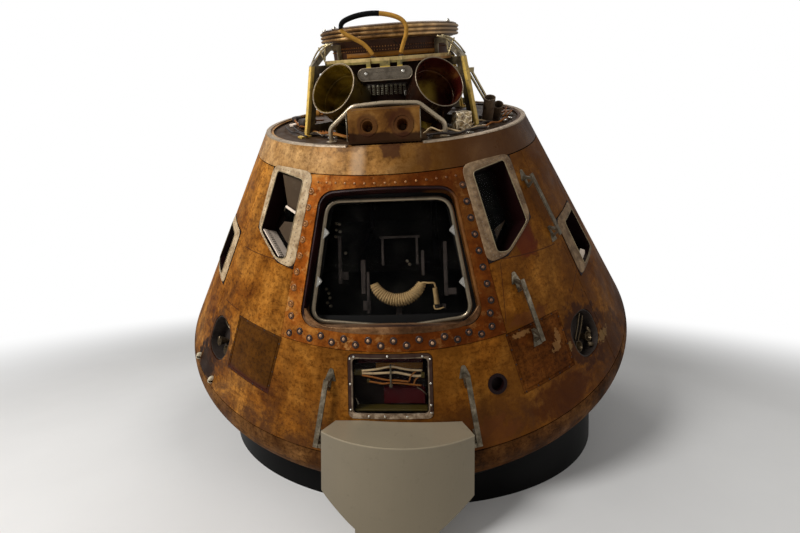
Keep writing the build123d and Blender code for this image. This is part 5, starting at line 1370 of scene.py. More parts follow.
class CAPSULE_OT_hatch(bpy.types.Operator):
    """Pale seal bead and latches of the hatch, and what hangs behind its pane"""

    bl_idname = "capsule.hatch"
    bl_label = "Hatch fittings"

    def execute(self, context):
        spot = skin_spot(*HATCH_AT)
        self.seal_bead(spot)
        self.sill()
        self.latches(spot)
        self.ribbed_hose(spot)
        self.small_hoses(spot)
        self.cabin(spot)
        return {"FINISHED"}

    def seal_bead(self, spot):
        """Oval tube on a rounded line: P + a cos t S + b sin t Z, with S square to the line."""
        line = rounded(SEAL_LINE, SEAL_ROUND, 12)
        line = np.c_[np.concatenate([line, line[:1]]), np.full(len(line) + 1, SEAL_DEPTH)]
        run = np.gradient(line, axis=0)
        run[0] = run[-1] = line[1] - line[-2]
        outward = np.array([0, 0, 1])
        side = np.cross(run / np.linalg.norm(run, axis=1, keepdims=True), outward)[:, None]
        t = np.linspace(0, 2 * np.pi, 13)[:, None]
        wide, high = SEAL_BEAD
        bead = line[:, None] + wide * np.cos(t) * side + high * np.sin(t) * outward
        piece("hatch_seal_bead", [seated(bead, spot)], "seal")

    def sill(self):
        """Strip from a level edge with its ends turned up to one that sags by the root of a sine."""
        a = np.linspace(0, np.pi, 60)
        share = 0.5 - 0.5 * np.cos(a)
        upper = np.stack([-0.486 + 0.982 * share, 0.104 * np.abs(2 * share - 1) ** 9 - 0.337], -1)
        lower = np.stack([-0.492 + 0.994 * share, -0.233 - 0.146 * np.sin(a) ** 0.5], -1)
        rows = [skin_spots(*HATCH_AT, upper + k * (lower - upper), h)[0] for k, h in SILL_RISE]
        piece("hatch_sill", [np.stack(rows)], "sill")

    def latches(self, spot):
        """Flat plate with a pin at each latch of the seal frame."""
        latches = []
        for x, y, side in LATCHES:
            at, turn = (x, y, SEAL_DEPTH), -9 * side
            latches.append(seated(slab(np.array(LATCH) * (side, 1), -0.006, 0.0125), spot, at, turn))
            pin = seated([0.008 * side, 0, 0.01], spot, at, turn)
            latches.append(stud(0.004, 0.003, (pin, spot[1])))
        piece("hatch_latches", latches, "bright", smooth=False)

    def ribbed_hose(self, spot):
        """Tube on an arc: its radius swells by a power of a sine and dips with a cosine at each rib."""
        share = np.linspace(0, 1, HOSE_RIBS * 6 + 1)
        a = np.radians(270 - HOSE_ARC / 2 + HOSE_ARC * share)
        middle = np.array([*HOSE_AT, HOSE_DEPTH])
        path = middle + HOSE_ARC_R * np.stack([np.cos(a), np.sin(a), 0 * a], -1)
        swell = HOSE_R + HOSE_SWELL * np.sin(np.pi * share) ** 0.6
        ribs = 1 - RIB_DEPTH * (1 - np.cos(2 * np.pi * HOSE_RIBS * share))
        hose = piece(
            "ribbed_hose", [seated(tube(path, swell * ribs, 20), spot)], "ivory"
        )
        bars = boxes(
            spot,
            ((0.036, 0.215, 0.01), 0.001, (HOSE_AT[0], -0.3125, -0.2565)),
            ((0.036, 0.04, 0.078), 0.001, (HOSE_AT[0], -0.4, -0.214)),
            ((0.05, 0.016, 0.012), 0.002, (HOSE_AT[0], -0.246, -0.246)),
        )
        bracket = piece("hose_bracket", bars, "soot", smooth=False)
        for part in (hose, bracket):
            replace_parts(part, "hatch_hose")

    def small_hoses(self, spot):
        """Coil (a cos kt, t, b sin kt) between two short bent runs."""
        coil = COIL_HALF * np.linspace(-1, 1, 73)
        wind = coil * COIL_WIND
        wind = np.stack([0.014 * np.cos(wind), coil, 0.012 * np.sin(wind)], -1)
        hoses = [
            bent_tube(spot, HOSE_ABOVE, 6, 0.006),
            seated(tube(wind, 0.0035, 6), spot, COIL_AT, 6),
            bent_tube(spot, HOSE_BELOW, 5, 0.005),
        ]
        piece("small_hoses", hoses, "ivory")

    def cabin(self, spot):
        """Brackets and knobs that show through the pane."""
        # Behind the pane the brackets take the dark sooty finish; here its darkness is painted shade.
        brackets = boxes(
            spot, *(((w, h, 0.02), 0.003, (x, y, -deep)) for x, y, w, h, deep in CABIN_BRACKETS)
        )
        piece("cabin_brackets", brackets, "soot", smooth=False)
        knobs = [stud(0.01, 0.016, spot, (x, y, KNOB_DEPTH), 10) for x, y in CABIN_KNOBS]
        piece("cabin_knobs", knobs, "silver")


# Behind the windows, in the frame of each: x to the right, y up the slope, z outward
SLAB_FOOT = (-0.016, -0.184, 0)
SLAB_WAY = (0.845, -0.503, 0)
SLAB_FACE = (0.503, 0.845, 0)
SLAB_RIBS = (-0.108, 0.108)
WEDGE = (
    (0.01, -0.105), (0.075, -0.15), (0.055, -0.166), (-0.09, -0.166), (-0.1, -0.14), (-0.08, -0.112)
)
INNER_PLATE = ((-0.07, 0.25), (0.128, 0.244), (0.072, 0.052), (-0.038, 0.07))
PLATE_LEAN = 0.384
LUMP = (
    (-0.06, -0.088), (-0.027, -0.0315), (0.05, -0.022), (0.118, -0.071), (0.135, -0.163),
    (0.091, -0.174), (0.0285, -0.144),
)
CORNER = ((-0.03, -0.11), (0.07, -0.08), (-0.04, -0.17))
PALE_BAR = ((-0.03, 0.062, -0.068), (0.03, 0.049, -0.068), (0.092, 0.035, -0.068))
WINDOW_PIPE = (
    (-0.105, 0.03, -0.115), (-0.085, 0.075, -0.115), (-0.02, 0.085, -0.115), (0.02, 0.07, -0.115),
)


class CAPSULE_OT_windows(bpy.types.Operator):
    """What shows behind the fore and side windows: padded slabs, plates and a pale bar"""

    bl_idname = "capsule.windows"
    bl_label = "Behind the windows"

    def execute(self, context):
        azimuth, height = FORE_WINDOW_AT
        left, right = skin_spot(-azimuth, height), skin_spot(azimuth, height)
        foot, wall, inward = np.array([SLAB_FOOT, SLAB_WAY, SLAB_FACE])
        axes = np.stack([wall, (0, 0, 1), inward])
        lean = axes @ left[1]
        pad = seated(foot + 0.006 * inward + (0, 0, -0.056), left), lean
        slabs = [box_at((0.25, 0.098, 0.008), 0.002, pad)]
        ribs = []
        for k in np.linspace(*SLAB_RIBS, 12):
            place = seated(foot + k * wall + 0.012 * inward + (0, 0, -0.034), left), lean
            ribs.append(box_at((0.004, 0.024, 0.003), 0.001, place))
        slabs.append(seated(slab(WEDGE, -0.004, 0.0), skin_spot(*SIDE_WINDOW_AT), (0, 0, -0.018)))
        piece("window_slabs", slabs, "pale", smooth=False)
        piece("window_slab_ribs", ribs, "grey", smooth=False)
        plate = slab(INNER_PLATE, -0.004, 0.0)
        plate[..., 2] -= 0.012 + PLATE_LEAN * (INNER_PLATE[0][1] - plate[..., 1])
        plates = [
            seated(plate, left),
            seated(slab(LUMP, -0.02, 0.0), left, (0, 0, -0.078)),
            seated(slab(CORNER, -0.004, 0.0), right, (0, 0, -0.112)),
        ]
        piece("window_inner_plates", plates, "umber", smooth=False)
        piece("window_pale_bar", [bent_tube(left, PALE_BAR, 4, 0.009)], "pale")
        pipe = bent_tube(left, WINDOW_PIPE, 5, 0.005)
        pin = stud(0.008, 0.006, left, (-0.02, 0.225, -0.112), 10)
        piece("window_bars", [pipe, pin], "silver")
        return {"FINISHED"}


# Bay wiring: points to the right and up the slope from the bay's middle, radius, finish
BAY_TUBES = (
    ([(-0.16, 0.074), (-0.105, 0.0785), (-0.06, 0.084), (-0.012, 0.0935), (0.019, 0.0924),
        (0.053, 0.084), (0.109, 0.0729), (0.176, 0.07)], 0.0062, "pale_wire"),
    ([(-0.16, 0.06), (-0.088, 0.0573), (-0.009, 0.059), (0.03, 0.059), (0.064, 0.0523), (0.109, 0.0422),
        (0.149, 0.0367), (0.186, 0.04)], 0.0066, "pale_wire"),
    ([(-0.16, 0.05), (-0.105, 0.0395), (-0.06, 0.0283), (-0.012, 0.0188), (0.025, 0.0172),
        (0.07, 0.0116), (0.098, 0.008)], 0.005, "wire"),
    ([(-0.13, 0.015), (-0.082, 0.006), (-0.043, -0.0012), (-0.009, 0.0016), (0.03, 0.0005),
        (0.081, -0.005), (0.12, -0.0107), (0.17, -0.0162)], 0.005, "wire"),
    ([(0.146, 0.069), (0.128, 0.054), (0.113, 0.0395), (0.101, 0.008)], 0.004, "wire"),
    ([(0.152, 0.029), (0.14, 0.02), (0.132, 0.005), (0.128, -0.01)], 0.004, "wire"),
    ([(0.145, -0.023), (0.171, -0.0385), (0.2, -0.0664)], 0.0034, "silver"),
    ([(-0.2, -0.0778), (-0.19, -0.098), (-0.184, -0.1163)], 0.0034, "silver"),
)
# Boxes in the bay: name, finish, and rows of size, edge and place
BAY_BOXES = (
    ("bay_post", "silver", (
        ((0.009, 0.118, 0.02), 0.002, (0.0, 0.047, -0.052)),
        ((0.018, 0.012, 0.024), 0.002, (0.001, -0.012, -0.052)),
    )),
    ("bay_clamps", "olive", (
        ((0.052, 0.03, 0.024), 0.003, (-0.182, 0.064, -0.055)),
        ((0.012, 0.02, 0.018), 0.002, (-0.127, 0.0165, -0.052)),
        ((0.022, 0.03, 0.018), 0.003, (0.18, 0.045, -0.058)),
    )),
    ("bay_boxes", "red", (
        ((0.235, 0.09, 0.05), 0.004, (0.073, -0.079, -0.112)),
        ((0.38, 0.036, 0.03), 0.004, (-0.01, 0.118, -0.122)),
    )),
    ("bay_plate", "band", (((0.27, 0.034, 0.01), 0.002, (0.045, 0.086, -0.106)),)),
    ("bay_shelf", "olive", (((0.406, 0.012, 0.08), 0.003, (0.0, -0.1405, -0.072)),)),
)
BAY_SCREWS = [
    (-0.198, 0.1605), (-0.011, 0.1625), (0.179, 0.1605), (-0.22, 0.15), (0.22, 0.145), (-0.22, 0.012),
    (0.22, 0.014), (-0.22, -0.128), (0.22, -0.103), (0.22, -0.145), (-0.03, -0.1625), (-0.12, -0.1625),
    (0.09, -0.1625)
]


class CAPSULE_OT_bay(bpy.types.Operator):
    """Tubes, post, boxes and screws of the lower equipment bay"""

    bl_idname = "capsule.bay"
    bl_label = "Equipment bay"

    def execute(self, context):
        spot = skin_spot(*BAY_AT)
        made = {}
        for k, (points, r, finish) in enumerate(BAY_TUBES):
            path = [(x, y, -0.052 - 0.006 * (k % 2) - 0.01 * math.sin(9 * x)) for x, y in points]
            made.setdefault(finish, []).append(bent_tube(spot, path, 6, r, 10))
        for name, finish in (
            ("bay_pale_tubes", "pale_wire"), ("bay_copper_tubes", "wire"), ("bay_links", "silver")
        ):
            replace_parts(piece(name, made[finish], finish), "bay_harness")
        for name, finish, rows in BAY_BOXES:
            piece(name, boxes(spot, *rows), finish, smooth=False)
        origins, axes = skin_spots(*BAY_AT, BAY_SCREWS, 0.004)
        piece(
            "bay_screws", [turned(head(0.0062, 0.004), origins, axes, 10)], "bright",
        )
        return {"FINISHED"}


# Release pegs: azimuth, height and turn, and the scale and height of each ring of a peg
PEGS = ((-51.5, 0.7, 8), (-42.2, 0.702, -6))
PEG_RISE = (
    (0, -0.004), (1, -0.004), (1, 0.004), (0.97, 0.014), (0.85, 0.021), (0.6, 0.0255), (0.3, 0.0268),
    (0, 0.027)
)
# Pipes and fittings in the thruster wells, with -1 for the left side and 1 for the right
WELL_PIPES = (
    (1, 0.0055, ((0.085, 0.105, -0.045), (0.03, 0.03, -0.06), (-0.03, -0.04, -0.075))),
    (1, 0.0055, ((0.105, 0.075, -0.045), (0.055, 0.005, -0.06), (0.0, -0.06, -0.078))),
    (-1, 0.005, ((-0.1, 0.09, -0.05), (-0.04, 0.05, -0.07), (0.04, 0.06, -0.07), (0.1, 0.02, -0.06))),
)
WELL_BLOCKS = (
    (1, (0.02, 0.05, 0.016), (0.095, -0.03, -0.04), 18),
    (1, (0.05, 0.026, 0.016), (0.045, -0.108, -0.03), -35),
    (-1, (0.03, 0.02, 0.014), (-0.085, -0.05, -0.04), 30),
    (-1, (0.024, 0.04, 0.014), (0.06, 0.08, -0.05), -24),
)


class CAPSULE_OT_lower_band(bpy.types.Operator):
    """Ivory release pegs, fittings in the thruster wells and screws of the access panels"""

    bl_idname = "capsule.lower_band"
    bl_label = "Lower band"

    def execute(self, context):
        t = np.linspace(0, 2 * np.pi, 25)
        oval = 0.0135 * np.stack([np.cos(t), np.sin(t) + np.sign(np.sin(t))], -1)
        peg = shrunk(oval, PEG_RISE)
        pegs = [seated(peg, skin_spot(azimuth, height), turn=lean) for azimuth, height, lean in PEGS]
        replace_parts(piece("ivory_pegs", pegs, "peg"), "release_pegs")
        azimuth, height = WELL_AT
        wells = {side: skin_spot(side * azimuth, height) for side in (-1, 1)}
        pipes = [bent_tube(wells[side], points, 6, r) for side, r, points in WELL_PIPES]
        piece("well_pipes", pipes, "nozzle")
        bits = [box_at(size, 0.004, wells[side], at, turn) for side, size, at, turn in WELL_BLOCKS]
        piece("well_fittings", bits, "nozzle")
        azimuth, height = PANEL_AT
        edge = along([(-0.2, 0.17), (0.2, 0.17), (0.2, -0.17), (-0.2, -0.17)], 0.085)
        spots = [skin_spots(side * azimuth, height, edge, -0.0015) for side in (-1, 1)]
        screws = [turned(head(0.005, 0.0018), *spot, 8) for spot in spots]
        piece("panel_screws", screws, "washer")
        return {"FINISHED"}


# Ends of the four handrails, as (azimuth, height)
RAILS = (
    (47.5, 1.474), (45.8, 1.835), (30.5, 1.055), (29.9, 1.377),
    (-12.4, 0.7), (-11.4, 1.02), (14.1, 0.7), (13.9, 1.02),
)
# Ring knobs: height and radius of their row, directions from the axis, and the profile of one
RING_TOP = 2.686
RING_R = 0.452
RING_KNOBS = (
    (-0.45, -0.15), (-0.342, -0.328), (0.396, -0.22), (-0.43, 0.035), (0.36, 0.27), (-0.2, 0.42)
)
KNOB = (
    (0, 0.0145), (0.007, 0.0135), (0.0115, 0.009), (0.0115, 0.005), (0.0155, 0.004), (0.0155, -0.001),
    (0, -0.001)
)
# Orange band round the tunnel: (radius, height) corners of its section
TUNNEL_OUT = 0.4105
BAND_IN = TUNNEL_OUT + 0.0006
BAND_OUT = TUNNEL_OUT + 0.004
BAND_SECTION = ((BAND_IN, 2.519), (BAND_OUT, 2.521), (BAND_OUT, 2.543), (BAND_IN, 2.545))
# Canisters: side angle and pitch in degrees, the mouth's distance, sections of lip and step
CAN_TURN = 29
CAN_PITCH = 36
CAN_OUT = TUNNEL_OUT + 0.2655
CAN_LIP = (
    (0.1545, -0.002), (0.1545, 0.001), (0.1558, 0.0026), (0.158, 0.0026), (0.1593, 0.001),
    (0.1593, -0.002), (0.1545, -0.002)
)
CAN_STEP = ((0.1495, -0.1), (0.141, -0.103), (0.141, -0.113), (0.1495, -0.116), (0.1495, -0.1))
# Hooks and bolts of the pull plate, and the run of one hook
HOOKS_AT = ((-0.187, 2.3), (0.123, 2.305))
PULL_BOLTS = ((-0.117, -0.577, 2.434), (0.108, -0.577, 2.437))
HOOK = ((-0.014, 0, 0.016), (-0.013, 0, -0.004), (0, 0, -0.014), (0.013, 0, -0.004), (0.014, 0, 0.016))
# Plug row: ends of the row, count, depth, height and lean of the springs, radius and length of one
PLUG_ROW = (-0.12, 0.108)
PLUGS = 9
PLUG_Y = -0.452
PLUG_Z = 2.356
PLUG_LEAN = -28
SPRING_R = 0.0085
SPRING_LENGTH = 0.056
# Braces beside the right gusset, mirrored for the left one
BRACES = (
    ((0.315, -0.475, 2.604), (0.365, -0.47, 2.59), (0.41, -0.44, 2.56), (0.48, -0.37, 2.5)),
    ((0.345, -0.445, 2.606), (0.4, -0.43, 2.59), (0.45, -0.395, 2.555), (0.5, -0.345, 2.505)),
    ((0.375, -0.43, 2.6), (0.385, -0.44, 2.52)),
    ((0.425, -0.395, 2.59), (0.385, -0.43, 2.5)),
)
BLOCK_EDGE = ((0.2045, -0.905, 2.266), (0.2045, -0.935, 2.2), (0.2045, -0.966, 2.128))
RAIL_FOOT = ((-0.034, -0.024), (0.034, -0.024), (0.01, 0.044), (-0.01, 0.044))
RAIL_SCREWS = ((-0.022, -0.012), (0.022, -0.012), (0, 0.03))


def on_circle(r, a, z=0.0):
    """Points at radius r and angles a from the front: (r sin a, -r cos a, z)."""
    return np.stack([r * np.sin(a), -r * np.cos(a), z + 0 * a], -1)


class CAPSULE_OT_top(bpy.types.Operator):
    """Fittings of the forward compartment: knobs, beads, springs, trim, braces and canister lips"""

    bl_idname = "capsule.top"
    bl_label = "Forward compartment"

    def execute(self, context):
        self.ring_and_tunnel()
        self.canisters()
        self.plug_row()
        self.plates_and_braces()
        return {"FINISHED"}

    def ring_and_tunnel(self):
        """Knobs on the ring, two rows of beads on the circle (r sin a, -r cos a, z), orange band."""
        knobs = np.array(RING_KNOBS)
        knobs = RING_R * knobs / np.linalg.norm(knobs, axis=1, keepdims=True)
        origins = stood(np.c_[knobs, np.full(len(knobs), RING_TOP)])
        knobs = turned(KNOB, origins, np.repeat(TURNED.T[None], len(knobs), 0), 12)
        piece("ring_knobs", [knobs], "bright")
        a = np.radians(np.linspace(-150, 150, 121))
        around, up = on_circle(1.0, a), np.tile([0.0, 0, 1], (len(a), 1))
        outward = np.stack([on_circle(1.0, a + np.pi / 2), up, around], 1) @ TURNED.T
        for name, z, r in (
            ("tunnel_beads_upper", 2.574, 0.0042), ("tunnel_beads_lower", 2.556, 0.0036)
        ):
            beads = turned(
                head(r, 0.004), stood((TUNNEL_OUT + 0.0005) * around + (0, 0, z)), outward, 8
            )
            piece(name, [beads], "bolt")
        a = np.radians(np.linspace(-40, 52, 60))
        rows = np.stack([on_circle(r, a, z) for r, z in (*BAND_SECTION, BAND_SECTION[0])])
        ends = [np.stack([rows[[0, 3], k], rows[[1, 2], k]]) for k in (0, -1)]
        piece("tunnel_band", [stood(grid) for grid in (rows, *ends)], "band")

    def canisters(self):
        """Lip and inner step of each canister, turned about its leaning axis."""
        lips, steps = [], []
        for side in (-1, 1):
            a, pitch = math.radians(side * CAN_TURN), math.radians(CAN_PITCH)
            x = np.array([math.cos(a), math.sin(a), 0])
            n = np.array([
                math.sin(a) * math.cos(pitch), -math.cos(a) * math.cos(pitch), math.sin(pitch)
            ])
            origin = stood([CAN_OUT * math.sin(a), -CAN_OUT * math.cos(a), CAN_MOUTH[2]])[None]
            axes = (np.stack([x, np.cross(n, x), n]) @ TURNED.T)[None]
            lips.append(turned(CAN_LIP, origin, axes, 72))
            steps.append(turned(CAN_STEP, origin, axes, 72))
        piece("canister_lips", lips, "can_lip")
        piece("canister_steps", steps, "can")

    def plug_row(self):
        """Springs (r cos w, r sin w, -l t) under domed caps, on a rail with two feet."""
        t = np.linspace(0, 1, 61)
        w = 10 * np.pi * t
        wind = np.stack([SPRING_R * np.cos(w), SPRING_R * np.sin(w), -SPRING_LENGTH * t], -1)
        springs = []
        for x in np.linspace(*PLUG_ROW, PLUGS):
            coil, cap = (capsule_spot(x, PLUG_Y, z, lean=PLUG_LEAN) for z in (PLUG_Z, PLUG_Z - 0.002))
            springs.append(seated(tube(wind, 0.0028, 6), coil))
            springs.append(stud(0.011, 0.01, cap, steps=6))
        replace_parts(piece("plug_springs", springs, "spring"), "plug_row")
        rail = [box_at((0.262, 0.022, 0.018), 0.002, capsule_spot(-0.006, -0.44, 2.362))]
        rail += [
            box_at((0.02, 0.026, 0.012), 0.002, capsule_spot(x, -0.422, 2.362)) for x in (-0.06, 0.06)
        ]
        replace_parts(piece("plug_rail", rail, "soot", smooth=False), "plug_row")

    def plates_and_braces(self):
        """Hooks, trim and bolts of the pull plate, gusset braces, edge strips and handrail feet."""
        hooks = []
        for x, z in HOOKS_AT:
            hooks.append(bent_tube(capsule_spot(x, -0.5, z), HOOK, 5, 0.0038))
            hooks.append(box_at((0.04, 0.01, 0.008), 0.002, capsule_spot(x, -0.496, z + 0.018)))
        piece("deck_hooks", hooks, "bright")
        t = np.linspace(-np.pi / 2, np.pi / 2, 14)
        right = np.stack([0.131 + 0.033 * np.cos(t), 0 * t, 0.033 * np.sin(t)], -1)
        oval = np.concatenate([right, right * (-1, 1, -1), right[:1]])
        trim = seated(tube(oval, 0.003, 6, capped=False), capsule_spot(0.0, -0.5775, 2.429))
        piece("pull_trim", [trim], "can_lip")
        facing = np.array([(1.0, 0, 0), (0, 0, 1), (0, -1, 0)]) @ TURNED.T
        bolts = [stud(0.0115, 0.009, (stood(at), facing), steps=12) for at in PULL_BOLTS]
        piece("pull_bolts", bolts, "bright")
        braces = [
            stood(tube(smoothed(np.array(run) * (side, 1, 1), 4), 0.0048, 8))
            for side in (1, -1)
            for run in BRACES
        ]
        piece("gusset_braces", braces, "brace")
        strips = [stood(tube(np.array(BLOCK_EDGE) * (side, 1, 1), 0.0032, 6)) for side in (-1, 1)]
        piece("block_edge_strips", strips, "silver")
        foot = slab(rounded(RAIL_FOOT, 0.008, 4), -0.001, 0.0022)
        feet = []
        for place in RAILS:
            feet.append(turned(head(0.0048, 0.003), *skin_spots(*place, RAIL_SCREWS, 0.0015), 8))
            feet.append(seated(foot, skin_spot(*place, 0.001)))
        piece("handrail_feet", feet, "silver", smooth=False)


# Loose lines on the deck: points of the upright capsule, radius, finish
DECK_LINES = (
    ([(-0.86, 0.16, 2.1), (-0.8, -0.02, 2.118), (-0.72, -0.17, 2.102), (-0.64, -0.31, 2.112),
        (-0.52, -0.45, 2.1), (-0.4, -0.56, 2.094)], 0.0075, "wire"),
    ([(-0.82, 0.02, 2.094), (-0.76, -0.2, 2.098), (-0.63, -0.42, 2.094), (-0.47, -0.55, 2.098),
        (-0.36, -0.62, 2.092)], 0.0055, "soot"),
    ([(-0.7, -0.26, 2.095), (-0.66, -0.34, 2.125), (-0.6, -0.33, 2.1), (-0.56, -0.4, 2.12),
        (-0.5, -0.42, 2.095)], 0.004, "wire"),
    ([(-0.6, 0.1, 2.095), (-0.66, -0.05, 2.115), (-0.58, -0.18, 2.105), (-0.5, -0.28, 2.12),
        (-0.44, -0.4, 2.094)], 0.0065, "wire"),
    ([(0.42, -0.66, 2.094), (0.5, -0.6, 2.104), (0.57, -0.53, 2.094), (0.63, -0.47, 2.108),
        (0.69, -0.4, 2.094)], 0.0065, "soot"),
    ([(0.36, -0.56, 2.094), (0.44, -0.6, 2.118), (0.52, -0.55, 2.1), (0.58, -0.47, 2.12),
        (0.66, -0.4, 2.098)], 0.0045, "pale_wire"),
    ([(0.78, -0.02, 2.094), (0.82, -0.06, 2.125), (0.79, -0.11, 2.1), (0.84, -0.15, 2.12),
        (0.8, -0.21, 2.094)], 0.006, "wire"),
    ([(0.83, 0.02, 2.094), (0.86, -0.04, 2.13), (0.84, -0.09, 2.105), (0.88, -0.13, 2.118),
        (0.83, -0.2, 2.094)], 0.005, "wire"),
    ([(0.7, -0.3, 2.094), (0.76, -0.2, 2.112), (0.72, -0.08, 2.1), (0.78, 0.05, 2.112),
        (0.74, 0.18, 2.094)], 0.0055, "soot"),
    ([(0.22, -0.66, 2.094), (0.28, -0.6, 2.106), (0.33, -0.66, 2.094)], 0.0045, "pale_wire"),
    ([(-0.62, -0.36, 2.1), (-0.55, -0.44, 2.112), (-0.47, -0.53, 2.1), (-0.38, -0.6, 2.114),
        (-0.28, -0.66, 2.1), (-0.23, -0.7, 2.096)], 0.009, "wire"),
    ([(-0.6, -0.42, 2.096), (-0.51, -0.5, 2.108), (-0.43, -0.57, 2.096), (-0.34, -0.64, 2.108),
        (-0.25, -0.71, 2.096)], 0.007, "band"),
    ([(-0.56, -0.5, 2.096), (-0.49, -0.56, 2.118), (-0.44, -0.6, 2.098), (-0.4, -0.65, 2.116),
        (-0.33, -0.69, 2.096)], 0.0035, "silver"),
    ([(0.23, -0.66, 2.096), (0.27, -0.62, 2.115), (0.33, -0.66, 2.1), (0.37, -0.7, 2.118),
        (0.46, -0.72, 2.1), (0.55, -0.64, 2.112), (0.62, -0.55, 2.096)], 0.0055, "pale_wire"),
    ([(0.24, -0.74, 2.096), (0.33, -0.76, 2.106), (0.42, -0.75, 2.098), (0.52, -0.69, 2.108),
        (0.62, -0.6, 2.096)], 0.0075, "soot"),
    ([(0.6, -0.62, 2.096), (0.66, -0.54, 2.112), (0.72, -0.46, 2.098), (0.78, -0.38, 2.108),
        (0.82, -0.28, 2.096)], 0.006, "wire"),
    ([(-0.86, -0.1, 2.096), (-0.8, -0.25, 2.11), (-0.72, -0.38, 2.097), (-0.64, -0.48, 2.108),
        (-0.55, -0.58, 2.096)], 0.006, "soot"),
    ([(-0.7, 0.42, 2.096), (-0.55, 0.58, 2.11), (-0.36, 0.68, 2.097), (-0.12, 0.76, 2.108),
        (0.14, 0.74, 2.096), (0.4, 0.66, 2.108), (0.6, 0.5, 2.096)], 0.008, "wire"),
    ([(-0.62, 0.38, 2.096), (-0.48, 0.6, 2.108), (-0.26, 0.7, 2.097), (0.02, 0.71, 2.106),
        (0.3, 0.7, 2.096)], 0.006, "pale_wire"),
    ([(0.82, 0.2, 2.096), (0.74, 0.36, 2.112), (0.64, 0.5, 2.098), (0.5, 0.62, 2.108),
        (0.32, 0.74, 2.096)], 0.007, "soot"),
)
# Small parts on the deck: x, y, turn, width, depth, height, finish
DECK_PARTS = (
    (-0.79, -0.03, 62, 0.11, 0.055, 0.022, "pale"),
    (-0.66, -0.16, 48, 0.12, 0.08, 0.07, "soot"),
    (-0.57, -0.28, 40, 0.05, 0.04, 0.045, "olive"),
    (-0.84, 0.14, 75, 0.07, 0.05, 0.05, "soot"),
    (-0.46, -0.46, 30, 0.06, 0.024, 0.018, "bolt"),
    (-0.39, -0.63, 20, 0.018, 0.018, 0.014, "bright"),
    (0.865, 0.0, 84, 0.23, 0.09, 0.012, "grey"),
    (-0.3, 0.76, 200, 0.16, 0.08, 0.05, "soot"),
    (0.12, 0.82, 170, 0.09, 0.06, 0.04, "pale"),
    (0.56, 0.66, 140, 0.13, 0.07, 0.06, "olive"),
    (-0.72, 0.52, 235, 0.11, 0.06, 0.05, "band"),
    (0.61, -0.5, -38, 0.09, 0.022, 0.016, "pale"),
    (0.49, -0.66, -28, 0.09, 0.02, 0.01, "bright"),
    (0.66, -0.28, -60, 0.08, 0.05, 0.04, "soot"),
    (0.78, -0.36, -60, 0.03, 0.026, 0.022, "bright"),
    (0.84, -0.27, -70, 0.026, 0.02, 0.016, "bright"),
    (0.56, -0.42, -45, 0.06, 0.045, 0.035, "soot"),
    (0.26, -0.72, -15, 0.03, 0.02, 0.012, "bright"),
)
DECK_TOP = 2.0805
# Two twisted wires: start, run, height, swing and angle from end to end
TWIST_FROM = (-0.6, -0.36)
TWIST_RUN = (0.2, -0.16)
TWIST_Z = 2.098
TWIST_R = 0.006
TWIST_TURN = 26
# Foil packet: place, half its size, points along an edge
FOIL_AT = (0.462, -0.612, 2.1425)
FOIL_HALF = (0.056, 0.042, 0.0605)
FOLDS = 22
# Creases of the foil packet: direction and depth
CREASES = (
    ((5, 2, 3), 0.03), ((-3, 6, 2), 0.025), ((2, -4, 7), 0.025), ((9, 5, -6), 0.015),
    ((-8, 9, 10), 0.01)
)


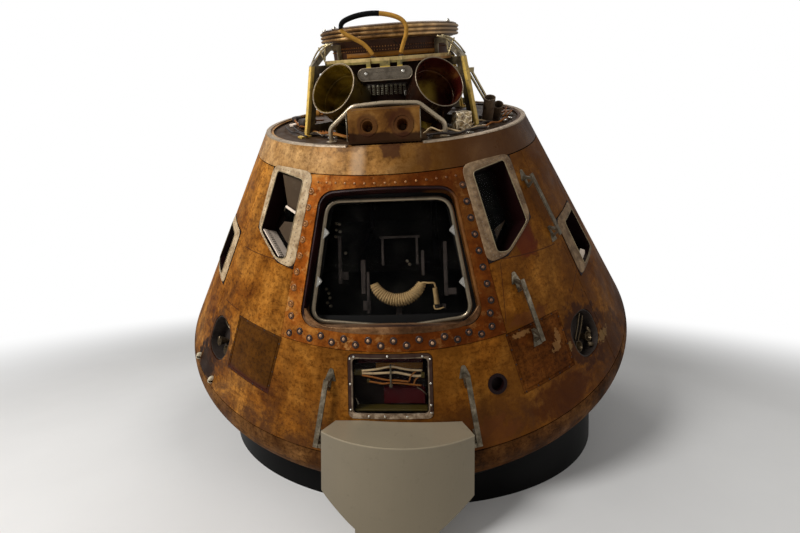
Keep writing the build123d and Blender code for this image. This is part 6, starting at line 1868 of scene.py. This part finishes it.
class CAPSULE_OT_deck(bpy.types.Operator):
    """Wiring ends, small parts and the crumpled foil packet on the forward deck"""

    bl_idname = "capsule.deck"
    bl_label = "Deck clutter"

    def execute(self, context):
        made = {}
        for points, r, finish in DECK_LINES:
            made.setdefault(finish, []).append(stood(tube(smoothed(points, 6), r, 8)))
        for x, y, turn, w, d, h, finish in DECK_PARTS:
            spot = capsule_spot(x, y, DECK_TOP + h / 2, turn)
            made.setdefault(finish, []).append(box_at((w, d, h), 0.12 * min(w, d, h), spot))
        t = np.linspace(0, 1, 61)
        x, y = (start + run * t for start, run in zip(TWIST_FROM, TWIST_RUN))
        for phase in (0, np.pi):
            wind = TWIST_TURN * t + phase
            swing, lift = TWIST_R * np.cos(wind), TWIST_R * np.sin(wind)
            twist = np.stack([x + swing, y + swing, TWIST_Z + lift], -1)
            made["wire"].append(stood(tube(twist, 0.0065, 8)))
        for finish, grids in made.items():
            piece(f"deck_{finish}", grids, finish)
        self.foil_packet()
        return {"FINISHED"}

    def foil_packet(self):
        """Cube blown toward a ball, times 1 less the folds, each the size of a sine along its way."""
        u, v = np.meshgrid(*[np.linspace(-1, 1, FOLDS)] * 2)
        faces = [
            np.roll(np.stack([sign + 0 * u, u, v], -1), axis, -1)
            for axis in range(3)
            for sign in (-1, 1)
        ]
        cube = np.stack(faces)
        ball = cube / np.linalg.norm(cube, axis=-1, keepdims=True)
        waves = [
            depth * np.abs(np.sin(cube @ np.array(way) + k)) for k, (way, depth) in enumerate(CREASES)
        ]
        packet = (0.8 * cube + 0.25 * ball) * (1 - sum(waves))[..., None] * FOIL_HALF
        spot = capsule_spot(*FOIL_AT, 20)
        foil = piece("foil_packet", [seated(packet, spot)], "foil", weld=1e-6)
        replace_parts(foil, "wrapped_block")


OPERATORS = (
    CAPSULE_OT_finishes,
    CAPSULE_OT_stage,
    CAPSULE_OT_loop,
    CAPSULE_OT_bolts,
    CAPSULE_OT_borders,
    CAPSULE_OT_hatch,
    CAPSULE_OT_windows,
    CAPSULE_OT_bay,
    CAPSULE_OT_lower_band,
    CAPSULE_OT_top,
    CAPSULE_OT_deck,
)


class CAPSULE_PT_panel(bpy.types.Panel):
    """Sizes, colours and steps of the capsule"""

    bl_label = "Capsule"
    bl_idname = "CAPSULE_PT_panel"
    bl_space_type = "VIEW_3D"
    bl_region_type = "UI"
    bl_category = "Capsule"

    def draw(self, context):
        look = context.scene.capsule_look
        for name in look.bl_rna.properties.keys():
            if name not in ("rna_type", "name"):
                self.layout.prop(look, name)
        for step in OPERATORS:
            self.layout.operator(step.bl_idname)


CLASSES = (CapsuleLook, *OPERATORS, CAPSULE_PT_panel)


def register():
    for kind in CLASSES:
        bpy.utils.register_class(kind)
    bpy.types.Scene.capsule_look = PointerProperty(type=CapsuleLook)


def unregister():
    del bpy.types.Scene.capsule_look
    for kind in reversed(CLASSES):
        bpy.utils.unregister_class(kind)


def main():
    """Registers the add-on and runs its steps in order."""
    register()
    for step in OPERATORS:
        group, name = step.bl_idname.split(".")
        getattr(getattr(bpy.ops, group), name)()


if __name__ == "__main__":
    main()
